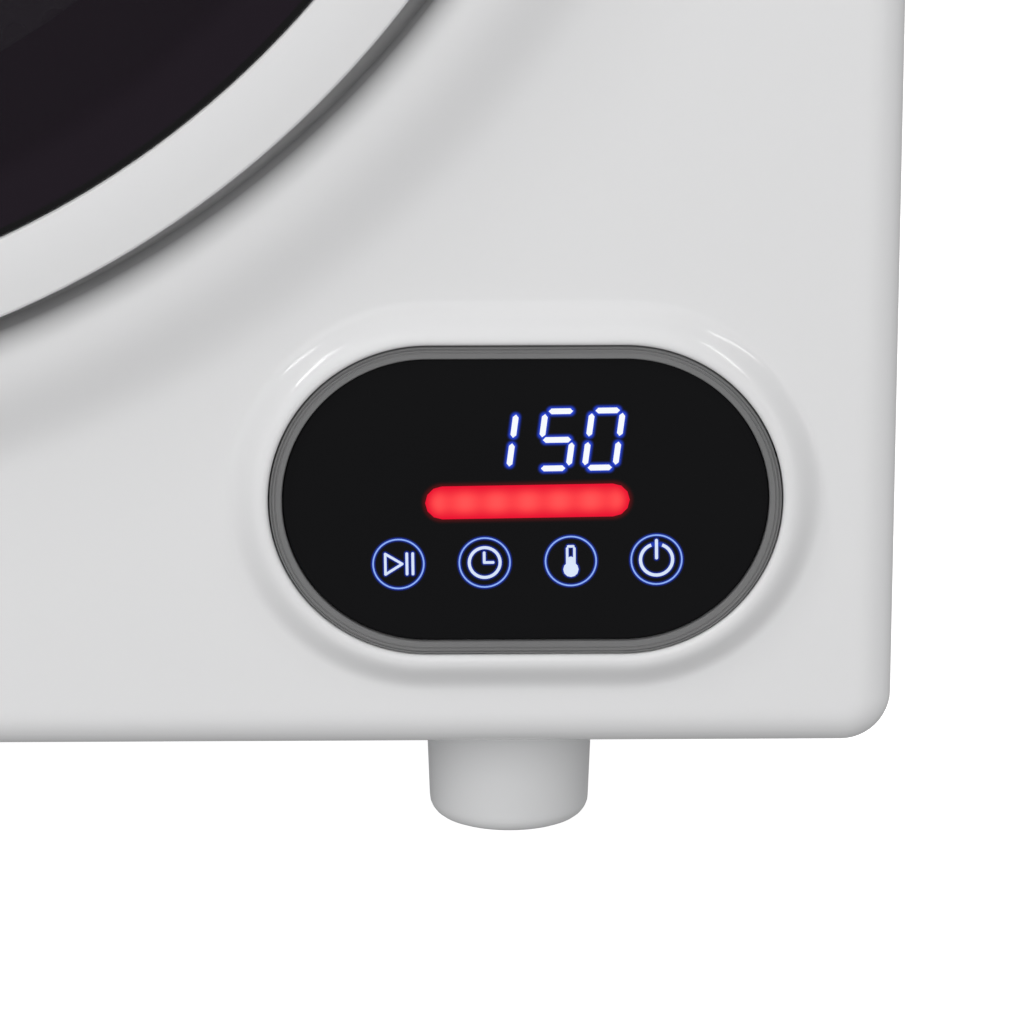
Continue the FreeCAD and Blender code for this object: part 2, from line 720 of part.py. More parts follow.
def make_drum():
    shell = turned(
        [
            ("drum_radius", "drum_front + 20"),
            ("drum_radius", "drum_rear"),
            ("drum_inner", "drum_rear"),
            ("drum_inner", "drum_front + 20"),
        ],
        "0",
        "axis_z",
    )
    node(shell, "drum_shell")
    rim = turned(
        [
            ("drum_radius", "drum_front + 19.9"),
            ("mouth_radius + 1.2", "drum_front"),
            ("mouth_radius + 1.2", "drum_front - 10"),
            ("mouth_radius", "drum_front - 10"),
            ("mouth_radius", "drum_front + 1"),
            ("drum_inner - 0.5", "drum_front + 19.9"),
        ],
        "0",
        "axis_z",
    )
    node(rim, "drum_front_rim")

    body = new_body()
    sketch = new_sketch(body, "XY_Plane")
    polygon(
        sketch,
        [
            ("shaft_radius + 0.1", "drum_rear - 1"),
            ("drum_inner - 0.2", "drum_rear - 1"),
            ("drum_inner - 0.2", "drum_rear"),
            ("shaft_radius + 0.1", "drum_rear"),
        ],
    )
    disc = body.newObject("PartDesign::Revolution", "Disc")
    disc.Profile = sketch
    disc.ReferenceAxis = (sketch, ["V_Axis"])
    disc.Angle = 360
    doc.recompute()
    axis = [f for f in body.Origin.OriginFeatures if f.Role == "Y_Axis"][0]
    rows = []
    for radius, count in (("filter_radius - 14", 20), ("drum_radius - 100", 36), ("drum_radius - 60", 36)):
        before = body.Shape.Volume
        hole_sketch = new_sketch(body, "XZ_Plane")
        circle(hole_sketch, radius, "0", "4.5")
        hole = body.newObject("PartDesign::Pocket", "Hole")
        hole.Profile = hole_sketch
        hole.Type = "ThroughAll"
        hole.Midplane = True
        doc.recompute()
        pattern = body.newObject("PartDesign::PolarPattern", "HoleRow")
        pattern.Originals = [hole]
        pattern.Axis = (axis, [""])
        pattern.Angle = 360
        pattern.Occurrences = count
        body.Tip = pattern
        doc.recompute()
        rows.append(before - body.Shape.Volume)
    if min(rows) <= 0:
        raise ValueError("the drum back's holes cut nothing")
    place(body, "0", "0", "axis_z")
    node(body, "drum_back")

    half = "lifter_base / 2"
    base = "sqrt(drum_inner * drum_inner - lifter_base * lifter_base / 4) - 0.4"
    for index in range(3):
        lifter = new_body()
        sketch = new_sketch(lifter, "XZ_Plane")
        polygon(
            sketch,
            [
                (f"-{half}", f"-({base})"),
                (half, f"-({base})"),
                ("9", f"-({base}) + lifter_height"),
                ("-9", f"-({base}) + lifter_height"),
            ],
        )
        pad = lifter.newObject("PartDesign::Pad", "Pad")
        pad.Profile = sketch
        pad.Reversed = True
        tie(pad, "Length", "drum_length - 55")
        turn = FreeCAD.Rotation(FreeCAD.Vector(0, 1, 0), 120 * index)
        place(lifter, "0", "drum_front + 32", "axis_z", turn)
        node(lifter, f"lifter_{index + 1}")

    shaft = turned(
        [
            ("0", "drum_rear - 3"),
            ("shaft_radius", "drum_rear - 3"),
            ("shaft_radius", "drum_rear + 0.1"),
            ("60", "drum_rear + 0.1"),
            ("60", "drum_rear + 3"),
            ("shaft_radius", "drum_rear + 3"),
            ("shaft_radius", "rear_inner - 4"),
            ("0", "rear_inner - 4"),
        ],
        "0",
        "axis_z",
    )
    node(shaft, "drum_shaft")

    bush = turned(
        [
            ("shaft_radius + running_fit", "duct_front + 8"),
            ("shaft_radius + 3", "duct_front + 8"),
            ("shaft_radius + 3", "rear_inner - 3"),
            ("shaft_radius + running_fit", "rear_inner - 3"),
        ],
        "0",
        "axis_z",
    )
    node(bush, "bearing_bush")
    housing = turned(
        [
            ("shaft_radius + 3.05", "duct_front + 8"),
            ("shaft_radius + 9", "duct_front + 8"),
            ("shaft_radius + 12", "rear_inner - 5"),
            ("45", "rear_inner - 5"),
            ("45", "rear_inner - 0.2"),
            ("0", "rear_inner - 0.2"),
            ("0", "rear_inner - 2.5"),
            ("shaft_radius + 3.05", "rear_inner - 2.5"),
        ],
        "0",
        "axis_z",
    )
    node(housing, "bearing_housing")

    reach = "drum_rear - 4"
    frame = turned(
        [
            ("filter_radius", f"{reach} - 6"),
            ("filter_radius", f"{reach} - 1"),
            ("filter_radius - 8", f"{reach} - 1"),
            ("filter_radius - 8", f"{reach} - 10"),
            ("filter_radius - 4", f"{reach} - 10"),
        ],
        "0",
        "axis_z",
    )
    hub = rod("Y", "0", f"{reach} - 12", "axis_z", "14", "10")
    spokes = [
        box(
            ("-filter_radius + 6", "filter_radius - 6"),
            (f"{reach} - 8", f"{reach} - 4"),
            ("axis_z - 2", "axis_z + 2"),
        ),
        box(
            ("-2", "2"),
            (f"{reach} - 8", f"{reach} - 4"),
            ("axis_z - filter_radius + 6", "axis_z + filter_radius - 6"),
        ),
    ]
    node(fuse(frame, hub, *spokes), "lint_filter_frame")
    mesh = turned(
        [
            ("0", f"{reach} - 1.9"),
            ("filter_radius - 8.1", f"{reach} - 1.9"),
            ("filter_radius - 8.1", f"{reach} - 1.1"),
            ("0", f"{reach} - 1.1"),
        ],
        "0",
        "axis_z",
    )
    node(mesh, "lint_filter_mesh")

    front_seal = turned(
        [
            ("opening_radius + panel_wall + 0.1", "bulkhead_rear + 4"),
            ("mouth_radius - 0.6", "bulkhead_rear + 4"),
            ("mouth_radius - 0.6", "collar_reach"),
            ("opening_radius + panel_wall + 0.1", "collar_reach"),
        ],
        "0",
        "axis_z",
    )
    rear_seal = turned(
        [
            ("filter_radius - 3", "drum_rear + 0.6"),
            ("filter_radius + 3", "drum_rear + 0.6"),
            ("filter_radius + 3", "duct_front - 0.1"),
            ("filter_radius - 3", "duct_front - 0.1"),
        ],
        "0",
        "axis_z",
    )
    node(group(front_seal, rear_seal), "felt_seals")

    axles = []
    for sign, label in (("-", "drum_roller_left"), ("", "drum_roller_right")):
        x = f"{sign}roller_x"
        wheel = turned(
            [
                ("axle_radius + running_fit", "drum_front + 28"),
                ("roller_radius - 6", "drum_front + 28"),
                ("roller_radius", "drum_front + 31"),
                ("roller_radius", "drum_front + 47"),
                ("roller_radius - 6", "drum_front + 50"),
                ("axle_radius + running_fit", "drum_front + 50"),
            ],
            x,
            "roller_z",
        )
        node(wheel, label)
        axle_length = "drum_front - bulkhead_front + 60"
        axles.append(rod("Y", x, "bulkhead_front - 4", "roller_z", "axle_radius", axle_length))
        axles.append(
            turned(
                [
                    ("axle_radius + 0.02", "bulkhead_rear + 0.1"),
                    ("axle_radius + 6", "bulkhead_rear + 0.1"),
                    ("axle_radius + 6", "bulkhead_rear + 4"),
                    ("axle_radius + 0.02", "bulkhead_rear + 4"),
                ],
                x,
                "roller_z",
            )
        )
    node(group(*axles), "roller_axles")


# ---- drive ----


def make_motor():
    x, z = "motor_x", "motor_z"
    low, high = "belt_place + 35", "belt_place + 140"
    case = turned(
        [
            ("rotor_radius + running_fit", low),
            ("motor_radius - 14", low),
            ("motor_radius", f"{low} + 14"),
            ("motor_radius", f"{high} - 14"),
            ("motor_radius - 14", high),
            ("rotor_radius + running_fit", high),
            ("rotor_radius + running_fit", f"{high} - 6"),
            ("motor_radius - 16", f"{high} - 6"),
            ("motor_radius - 4", f"{high} - 18"),
            ("motor_radius - 4", f"{low} + 18"),
            ("motor_radius - 16", f"{low} + 6"),
            ("rotor_radius + running_fit", f"{low} + 6"),
        ],
        x,
        z,
    )
    node(case, "motor_case")
    shaft = turned(
        [
            ("0", "belt_place - 6"),
            ("rotor_radius", "belt_place - 6"),
            ("rotor_radius", f"{low} + 26"),
            ("motor_radius - 22.6", f"{low} + 26"),
            ("motor_radius - 22.6", f"{high} - 26"),
            ("rotor_radius", f"{high} - 26"),
            ("rotor_radius", "fan_front + 22"),
            ("0", "fan_front + 22"),
        ],
        x,
        z,
    )
    node(shaft, "rotor_shaft")
    pulley = turned(
        [
            ("rotor_radius + 0.03", "belt_place - 4"),
            ("pulley_radius + 4", "belt_place - 4"),
            ("pulley_radius + 4", "belt_place - 2"),
            ("pulley_radius", "belt_place - 1"),
            ("pulley_radius", "belt_place + belt_width + 1"),
            ("pulley_radius + 4", "belt_place + belt_width + 2"),
            ("pulley_radius + 4", "belt_place + belt_width + 4"),
            ("rotor_radius + 0.03", "belt_place + belt_width + 4"),
        ],
        x,
        z,
    )
    node(pulley, "motor_pulley")
    saddle = box(
        (f"{x} - 40", f"{x} + 40"), (f"{low} + 20", f"{high} - 20"), ("deck_z", f"{z} - motor_radius + 16")
    )
    saddle = cut(saddle, rod("Y", x, f"{low} + 10", z, "motor_radius + 0.2", "100"))

    hub = rod("Y", x, "fan_front + 4", z, "12", "17")
    disc = rod("Y", x, "fan_front + 3", z, "fan_radius", "2")
    rim = cut(
        rod("Y", x, "fan_front + 19", z, "fan_radius", "2"),
        rod("Y", x, "fan_front + 18", z, "fan_radius - 12", "4"),
    )
    blades = []
    for k in range(12):
        blade = doc.addObject("Part::Box", "Blade")
        tie(blade, "Length", "11")
        tie(blade, "Width", "16")
        tie(blade, "Height", "1.6")
        turn = FreeCAD.Rotation(FreeCAD.Vector(0, 1, 0), k * 30)
        reach = "fan_radius - 11.5"
        # A blade's root lies on the wheel's radius at its own angle.
        across = f"{x} + ({reach}) * cos({k * 30} deg)"
        upward = f"{z} - ({reach}) * sin({k * 30} deg)"
        place(blade, across, "fan_front + 4", upward, turn)
        blades.append(blade)
    wheel = fuse(hub, disc, rim, *blades)
    bore = rod("Y", x, "fan_front + 2", z, "rotor_radius + 0.03", "22")
    node(cut(wheel, bore), "blower_impeller")
    return saddle


def pulley_tangent():
    """The belt's lower run: its unit normal, and where it leaves the drum and meets the pulley."""
    drum = FreeCAD.Vector(0, 0, number("axis_z"))
    pulley = FreeCAD.Vector(number("motor_x"), 0, number("motor_z"))
    along = pulley - drum
    lean = math.acos((number("drum_radius") - number("pulley_radius")) / along.Length)
    angle = math.atan2(along.z, along.x)
    normals = [FreeCAD.Vector(math.cos(angle + s * lean), 0, math.sin(angle + s * lean)) for s in (-1, 1)]
    return drum, pulley, normals


def belt_outline(grow):
    """A closed belt line round drum and pulley, grown outwards."""
    drum, pulley, (upper, lower) = pulley_tangent()
    big = number("drum_radius") + grow
    small = number("pulley_radius") + grow
    away = (drum - pulley).normalize()
    arcs = [
        Part.Arc(drum + upper * big, drum + away * big, drum + lower * big),
        Part.Arc(pulley + lower * small, pulley - away * small, pulley + upper * small),
    ]
    runs = [
        Part.LineSegment(drum + lower * big, pulley + lower * small),
        Part.LineSegment(pulley + upper * small, drum + upper * big),
    ]
    return Part.Wire([arcs[0].toShape(), runs[0].toShape(), arcs[1].toShape(), runs[1].toShape()])


def make_belt_and_idler(saddle):
    gap = 0.4
    inner = Part.Face(belt_outline(gap))
    outer = Part.Face(belt_outline(gap + number("belt_wall")))
    band = outer.cut(inner).extrude(FreeCAD.Vector(0, number("belt_width"), 0))
    belt = doc.addObject("Part::Feature", "Belt")
    belt.Shape = band.Solids[0]
    belt.Placement = FreeCAD.Placement(
        FreeCAD.Vector(0, number("front_y + belt_place"), 0), FreeCAD.Rotation()
    )
    node(belt, "drive_belt")

    drum, pulley, (upper, lower) = pulley_tangent()
    leave = drum + lower * number("drum_radius")
    meet = pulley + lower * number("pulley_radius")
    middle = leave * 0.5 + meet * 0.5
    centre = middle + lower * (gap + number("belt_wall") + 0.4 + number("idler_radius"))
    x, z = f"{centre.x:.4f}", f"{centre.z:.4f}"
    pivot_x, pivot_z = f"{centre.x:.4f} + 58", "deck_z + 16"
    wheel = turned(
        [
            ("3 + running_fit", "belt_place - 1"),
            ("idler_radius", "belt_place - 1"),
            ("idler_radius", "belt_place + belt_width + 1"),
            ("3 + running_fit", "belt_place + belt_width + 1"),
        ],
        x,
        z,
    )
    node(wheel, "idler_pulley")
    back = "belt_place + belt_width + 2"
    lean = math.atan2(centre.z - number(pivot_z), -58)
    half = FreeCAD.Vector(-math.sin(lean), 0, math.cos(lean)) * 5
    start = FreeCAD.Vector(number(pivot_x), 0, number(pivot_z))
    corners = [start + half, centre + half, centre - half, start - half]
    bar = extruded([(f"{v.x:.4f}", f"{v.z:.4f}") for v in corners], back, f"{back} + 4")
    arm = fuse(
        bar,
        rod("Y", x, back, z, "8", "4"),
        rod("Y", pivot_x, back, pivot_z, "8", "4"),
        rod("Y", x, "belt_place - 3", z, "3", "belt_width + 6"),
    )
    bore = rod("Y", pivot_x, f"{back} - 1", pivot_z, "4 + running_fit", "6")
    node(cut(arm, bore), "idler_arm")
    stand_width = (f"{pivot_x} - 10", f"{pivot_x} + 10")
    stand = box(stand_width, (f"{back} + 5", f"{back} + 8"), ("deck_z", f"{pivot_z} + 10"))
    sole = box(stand_width, (f"{back} + 5", f"{back} + 30"), ("deck_z", "deck_z + 2"))
    pin = rod("Y", pivot_x, f"{back} - 2", pivot_z, "4", "8")
    node(group(saddle, fuse(stand, sole, pin)), "drive_brackets")


# ---- air path and electrics ----


def make_air_path():
    fan = ("motor_x", "motor_z")

    def duct_solid(low, high, grow):
        """The drum outlet's dish, the fan inlet's dish and the straight duct between them."""
        drum, pulley, _ = pulley_tangent()
        along = (pulley - drum).normalize()
        across = FreeCAD.Vector(-along.z, 0, along.x)
        wide = number(f"filter_radius - 12 + ({grow})")
        narrow = number(f"fan_radius - 10 + ({grow})")
        corners = [drum + across * wide, pulley + across * narrow]
        corners += [pulley - across * narrow, drum - across * wide]
        arm = extruded([(f"{v.x:.4f}", f"{v.z:.4f}") for v in corners], low, high)
        length = f"({high}) - ({low})"
        dish = rod("Y", "0", low, "axis_z", f"filter_radius + 3 + ({grow})", length)
        cup = rod("Y", fan[0], low, fan[1], f"fan_radius - 4 + ({grow})", length)
        return fuse(dish, cup, arm)

    outer = duct_solid("duct_front", "duct_rear", "0")
    inner = duct_solid("duct_front + duct_wall", "duct_rear - duct_wall", "-duct_wall")
    tools = [
        inner,
        rod("Y", "0", "duct_front - 1", "axis_z", "filter_radius - 4", "4"),
        rod("Y", "0", "duct_rear - 4", "axis_z", "shaft_radius + 12.5", "6"),
        rod("Y", fan[0], "duct_front - 1", fan[1], "rotor_radius + 2", "4"),
        rod("Y", fan[0], "duct_rear - 4", fan[1], "fan_radius - 16", "6"),
    ]
    node(cut(outer, *tools), "rear_duct")

    def scroll(low, high, grow):
        round_part = rod("Y", fan[0], low, fan[1], f"fan_radius + 11 + ({grow})", f"({high}) - ({low})")
        outlet = box(
            (fan[0], f"collar_x + collar_radius + 3 + ({grow})"),
            (low, high),
            (f"{fan[1]} - collar_radius - 3 - ({grow})", f"{fan[1]} + collar_radius + 3 + ({grow})"),
        )
        return fuse(round_part, outlet)

    housing = cut(
        scroll("fan_front", "rear_inner - 0.5", "0"),
        scroll("fan_front + duct_wall", "rear_inner - 0.5 - duct_wall", "-duct_wall"),
        rod("Y", fan[0], "fan_front - 1", fan[1], "fan_radius - 16", "4"),
        rod("Y", "collar_x", "rear_inner - 4", fan[1], "collar_radius - 2", "6"),
    )
    node(housing, "blower_housing")
    collar = turned(
        [
            ("collar_radius - 2", "rear_inner - 0.3"),
            ("collar_radius", "rear_inner - 0.3"),
            ("collar_radius", "body_depth + 0.2"),
            ("collar_radius + 8", "body_depth + 0.2"),
            ("collar_radius + 8", "body_depth + 2"),
            ("collar_radius", "body_depth + 2"),
            ("collar_radius", "body_depth + collar_out"),
            ("collar_radius - 2", "body_depth + collar_out"),
        ],
        "collar_x",
        "motor_z",
    )
    node(collar, "exhaust_collar")

    x_range = ("heater_left", "heater_right")
    z_range = ("heater_low", "heater_high")
    duct = box(x_range, ("duct_front", "rear_inner - 0.5"), z_range)
    hollow = box(
        ("heater_left + duct_wall", "heater_right - duct_wall"),
        ("duct_front - 1", "rear_inner + 1"),
        ("heater_low + duct_wall", "heater_high - duct_wall"),
    )
    node(cut(duct, hollow), "heater_duct")
    core = box(
        ("heater_left + 8", "heater_right - 8"),
        ("duct_front + 10", "duct_front + 32"),
        ("heater_low + 8", "heater_high - 8"),
    )
    slots = [
        box(
            (f"heater_left + {12 + 16 * k}", f"heater_left + {24 + 16 * k}"),
            ("duct_front + 9", "duct_front + 33"),
            ("heater_low + 14", "heater_high - 14"),
        )
        for k in range(8)
    ]
    node(cut(core, *slots), "ptc_heater")

    plate = box(("heater_left + 4", "heater_right - 4"), ("body_depth + 0.2", "body_depth + 3.2"), GRILLE_Z)
    louvres = [
        box(
            ("heater_left + 18", "heater_right - 18"),
            ("body_depth", "body_depth + 4"),
            (f"heater_low + {18 + 9 * k}", f"heater_low + {23 + 9 * k}"),
        )
        for k in range(8)
    ]
    node(cut(plate, *louvres), "rear_grille")

    gland = turned(
        [
            ("4", "rear_inner - 4"),
            ("7", "rear_inner - 4"),
            ("7", "body_depth + 0.1"),
            ("10", "body_depth + 0.1"),
            ("9", "body_depth + 8"),
            ("4", "body_depth + 8"),
        ],
        "inlet_x",
        "inlet_z",
    )
    node(gland, "power_inlet")


make_front_panel()
make_controls()
make_cabinet()
make_feet()
make_door()
make_hinge()
make_latch()
make_drum()
make_belt_and_idler(make_motor())
make_air_path()

doc.recompute()
for item in doc.Objects:
    if "Invalid" in item.State or "Error" in item.State:
        raise ValueError(f"{item.Label} failed: {item.State}")
for item in NODES:
    if item.Shape.isNull() or not item.Shape.isValid() or not item.Shape.Solids:
        raise ValueError(f"{item.Label} has no valid solid")

os.makedirs("parts", exist_ok=True)
for item in NODES:
    item.Shape.exportStep(f"parts/{item.Label}.step")
print(len(NODES), "sub-parts written")
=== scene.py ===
import json
import math

import bmesh
import bpy
from mathutils import Euler, Matrix, Vector


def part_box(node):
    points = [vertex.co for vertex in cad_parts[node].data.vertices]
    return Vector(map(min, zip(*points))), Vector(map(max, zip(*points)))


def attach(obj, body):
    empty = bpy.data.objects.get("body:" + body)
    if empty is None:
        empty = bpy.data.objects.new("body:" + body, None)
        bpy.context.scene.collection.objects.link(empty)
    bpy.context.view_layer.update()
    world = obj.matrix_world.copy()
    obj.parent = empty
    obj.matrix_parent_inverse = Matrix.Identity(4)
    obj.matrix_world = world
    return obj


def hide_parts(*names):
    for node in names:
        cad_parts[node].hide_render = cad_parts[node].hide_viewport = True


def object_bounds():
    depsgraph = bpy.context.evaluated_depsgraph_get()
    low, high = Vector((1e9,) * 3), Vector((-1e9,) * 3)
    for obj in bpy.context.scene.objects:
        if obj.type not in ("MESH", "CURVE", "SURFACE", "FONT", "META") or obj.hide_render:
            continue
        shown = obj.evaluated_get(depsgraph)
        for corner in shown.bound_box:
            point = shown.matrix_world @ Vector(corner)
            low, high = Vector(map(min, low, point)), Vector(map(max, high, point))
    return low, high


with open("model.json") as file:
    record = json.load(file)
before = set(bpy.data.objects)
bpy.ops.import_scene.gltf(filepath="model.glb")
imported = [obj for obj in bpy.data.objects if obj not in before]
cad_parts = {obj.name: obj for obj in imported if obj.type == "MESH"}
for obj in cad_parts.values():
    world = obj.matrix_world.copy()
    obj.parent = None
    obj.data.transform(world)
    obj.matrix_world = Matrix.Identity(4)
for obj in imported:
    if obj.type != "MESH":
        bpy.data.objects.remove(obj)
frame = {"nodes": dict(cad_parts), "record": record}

MM = 0.001
CAD_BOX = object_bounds()

# ---- places on the machine, read from the frame ----

GLASS_LOW, GLASS_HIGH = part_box("touch_glass")
PANEL_LOW, PANEL_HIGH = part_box("front_panel")
RING_LOW, RING_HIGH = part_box("door_ring")
FRONT = GLASS_LOW.y + 3 * MM  # the flat of the front panel
TOUCH_X = (GLASS_LOW.x + GLASS_HIGH.x) / 2
TOUCH_Z = (GLASS_LOW.z + GLASS_HIGH.z) / 2
TOUCH_END = (GLASS_HIGH.z - GLASS_LOW.z) / 2 / MM  # half the glass's height, and the radius of its ends
TOUCH_RUN = (GLASS_HIGH.x - GLASS_LOW.x) / 2 - TOUCH_END * MM
AXIS_Z = (RING_LOW.z + RING_HIGH.z) / 2
DOOR_RADIUS = round((RING_HIGH.z - RING_LOW.z) / 2 / MM, 1)
CORNER = 12  # radius of the cabinet's corners, seen from the front
DISPLAY_TURN = math.radians(0.8)  # the lit display sits very slightly turned behind its glass
ROUND = 240  # steps round the door
STADIUM = 160  # steps round the two ends of the controls
MERGE = 1e-5  # metres within which a seam's points are one
LEVEL = 1e-6  # metres within which a point is at a level
ON_LINE = 0.01  # millimetres within which a point is on a line

DOOR_CENTRE = [(0.0, AXIS_Z)]
TOUCH_CENTRES = [(TOUCH_X - TOUCH_RUN, TOUCH_Z), (TOUCH_X + TOUCH_RUN, TOUCH_Z)]
CORNER_CENTRES = [
    (PANEL_LOW.x + CORNER * MM, PANEL_HIGH.z - CORNER * MM),
    (PANEL_LOW.x + CORNER * MM, PANEL_LOW.z + CORNER * MM),
    (PANEL_HIGH.x - CORNER * MM, PANEL_LOW.z + CORNER * MM),
    (PANEL_HIGH.x - CORNER * MM, PANEL_HIGH.z - CORNER * MM),
]


# ---- shader maths ----


class Wire:
    """An output socket in a finish. Arithmetic on it adds Math nodes."""

    def __init__(self, finish, socket):
        self.finish = finish
        self.socket = socket

    def maths(self, operation, *values):
        return self.finish.node("ShaderNodeMath", {"operation": operation}, dict(enumerate(values)))

    def __add__(self, other):
        return self.maths("ADD", self, other)

    def __radd__(self, other):
        return self.maths("ADD", other, self)

    def __sub__(self, other):
        return self.maths("SUBTRACT", self, other)

    def __rsub__(self, other):
        return self.maths("SUBTRACT", other, self)

    def __mul__(self, other):
        return self.maths("MULTIPLY", self, other)

    def __rmul__(self, other):
        return self.maths("MULTIPLY", other, self)

    def __truediv__(self, other):
        return self.maths("DIVIDE", self, other)

    def __pow__(self, other):
        return self.maths("POWER", self, other)

    def __abs__(self):
        return self.maths("ABSOLUTE", self)

    def off_middle(self):
        """How far the value is from the middle of its whole step, from -0.5 to 0.5."""
        return self.maths("FRACT", self) - 0.5


class Finish:
    """A node-based material with one Principled shader, whose constant values sit on its own sockets."""

    def __init__(self, name, **constants):
        self.material = bpy.data.materials.new(name)
        self.material.use_nodes = True
        self.tree = self.material.node_tree
        self.shader = self.tree.nodes["Principled BSDF"]
        for socket, value in constants.items():
            self.shader.inputs[socket.replace("_", " ")].default_value = value
        self.place = self.node("ShaderNodeTexCoord", {}, {}, "Object")
        split = self.tree.nodes.new("ShaderNodeSeparateXYZ")
        self.tree.links.new(self.place.socket, split.inputs[0])
        self.x, self.y, self.z = (Wire(self, split.outputs[axis]) for axis in "XYZ")

    def node(self, kind, settings, values, output=0):
        made = self.tree.nodes.new(kind)
        for key, value in settings.items():
            setattr(made, key, value)
        for key, value in values.items():
            if isinstance(value, Wire):
                self.tree.links.new(value.socket, made.inputs[key])
            else:
                made.inputs[key].default_value = value
        return Wire(self, made.outputs[output])

    def feed(self, socket, wire):
        self.tree.links.new(wire.socket, self.shader.inputs[socket])

    def noise(self, scale, detail=3.0, stretch=(1, 1, 1)):
        """Smooth noise from 0 to 1 over the piece, scale in features per metre, stretched along an axis."""
        where = self.place
        if stretch != (1, 1, 1):
            where = self.node("ShaderNodeMapping", {}, {0: self.place, "Scale": stretch})
        return self.node("ShaderNodeTexNoise", {}, {"Vector": where, "Scale": scale, "Detail": detail})

    def between(self, low, high, wire):
        """A colour that goes from low, a colour or a wire, to high as the wire goes from 0 to 1."""
        start = low if isinstance(low, Wire) else (*low, 1)
        return self.node("ShaderNodeMix", {"data_type": "RGBA"}, {0: wire, 6: start, 7: (*high, 1)}, 2)

    def from_axis(self):
        """The distance in metres from the axis of the door and drum."""
        return (self.x**2 + (self.z - AXIS_Z) ** 2) ** 0.5

    def clipped(self, wire, low, high):
        """0 where the wire is at low or below, 1 at high or above, and smooth between."""
        ends = {0: wire, 1: low, 2: high, 3: 0.0, 4: 1.0}
        return self.node("ShaderNodeMapRange", {"interpolation_type": "SMOOTHSTEP"}, ends)

    def relief(self, height, depth):
        """Bumps of the given depth in metres where height goes from 0 to 1."""
        bump = self.node("ShaderNodeBump", {}, {"Height": height, "Distance": depth, "Strength": 1.0})
        self.feed("Normal", bump)


# ---- modelling helpers ----


def activate(piece):
    bpy.ops.object.select_all(action="DESELECT")
    piece.select_set(True)
    bpy.context.view_layer.objects.active = piece


def trace(name, points):
    """Start a piece as one corner point and extrude it along a line; it stays in edit mode, all selected."""
    bpy.ops.object.select_all(action="DESELECT")
    bpy.ops.mesh.primitive_plane_add(size=0.01, location=(0, 0, 0), enter_editmode=True)
    bpy.context.object.name = name
    bpy.ops.mesh.select_mode(type="VERT")
    bpy.ops.mesh.select_all(action="SELECT")
    bpy.ops.mesh.merge(type="CENTER")
    bpy.ops.transform.translate(value=points[0])
    for here, there in zip(points, points[1:]):
        bpy.ops.mesh.extrude_region_move(TRANSFORM_OT_translate={"value": there - here})
    bpy.ops.mesh.select_all(action="SELECT")
    bpy.ops.mesh.remove_doubles(threshold=LEVEL)


def closed():
    """Merge what meets, turn the faces outwards and leave edit mode."""
    bpy.ops.mesh.select_all(action="SELECT")
    bpy.ops.mesh.remove_doubles(threshold=MERGE)
    bpy.ops.mesh.normals_make_consistent(inside=False)
    bpy.ops.object.mode_set(mode="OBJECT")
    return bpy.context.object


def carried(name, centres, steps, count):
    """Trace (outward, backward) millimetres above the first centre and carry the line round them all."""
    x, z = centres[0]
    trace(name, [Vector((x, FRONT + back * MM, z + out * MM)) for out, back in steps])
    steps_each, turn = count // len(centres), math.tau / len(centres)
    for here, there in zip(centres, centres[1:] + centres[:1]):
        middle = (here[0], 0, here[1])
        bpy.ops.mesh.spin(steps=steps_each, angle=turn, center=middle, axis=(0, 1, 0), use_auto_merge=False)
        if there != here:
            run = (there[0] - here[0], 0, there[1] - here[1])
            bpy.ops.mesh.extrude_region_move(TRANSFORM_OT_translate={"value": run})
    return closed()


def stood(name, x, y, steps, count):
    """Trace (outward, up) millimetres beside an upright axis and spin it into a solid."""
    trace(name, [Vector((x + out * MM, y, up * MM)) for out, up in steps])
    bpy.ops.mesh.spin(steps=count, angle=math.tau, center=(x, y, 0), axis=(0, 0, 1), use_auto_merge=False)
    return closed()


def block(name, low, high, edge=0.0):
    """A block between two corners in metres, with its edges rounded."""
    low, high = Vector(low), Vector(high)
    bpy.ops.object.select_all(action="DESELECT")
    bpy.ops.mesh.primitive_cube_add(size=1, location=(low + high) / 2, scale=high - low, enter_editmode=True)
    bpy.context.object.name = name
    bpy.ops.mesh.select_all(action="SELECT")
    if edge:
        bpy.ops.mesh.bevel(offset=edge, segments=3, affect="EDGES")
    bpy.ops.object.mode_set(mode="OBJECT")
    bpy.ops.object.transform_apply(location=True, rotation=True, scale=True)
    return bpy.context.object


def modified(piece, kind, **settings):
    """Apply one modifier to a piece."""
    activate(piece)
    modifier = piece.modifiers.new(kind.title(), kind)
    for key, value in settings.items():
        setattr(modifier, key, value)
    bpy.ops.object.modifier_apply(modifier=modifier.name)


def hollowed(piece, *tools):
    """Cut other pieces out of this one and throw them away."""
    for tool in tools:
        modified(piece, "BOOLEAN", operation="DIFFERENCE", solver="EXACT", object=tool)
        bpy.data.objects.remove(tool)


def joined(name, pieces):
    activate(pieces[0])
    for piece in pieces:
        piece.select_set(True)
    bpy.ops.object.join()
    bpy.context.object.name = name
    return bpy.context.object


def arc(out, back, radius, start, end, count):
    """Points of an arc in a traced line: 0 degrees points outward, 90 backward."""
    turns = [math.radians(start + (end - start) * k / count) for k in range(count + 1)]
    return [(out + radius * math.cos(turn), back + radius * math.sin(turn)) for turn in turns]


def slope(start, end, count):
    """A soft S from one (outward, backward) point to another, level at both."""
    line = []
    for k in range(count + 1):
        part = k / count
        fall = (1 + math.cos(math.pi * part)) / 2
        line.append((start[0] + (end[0] - start[0]) * part, end[1] + (start[1] - end[1]) * fall))
    return line


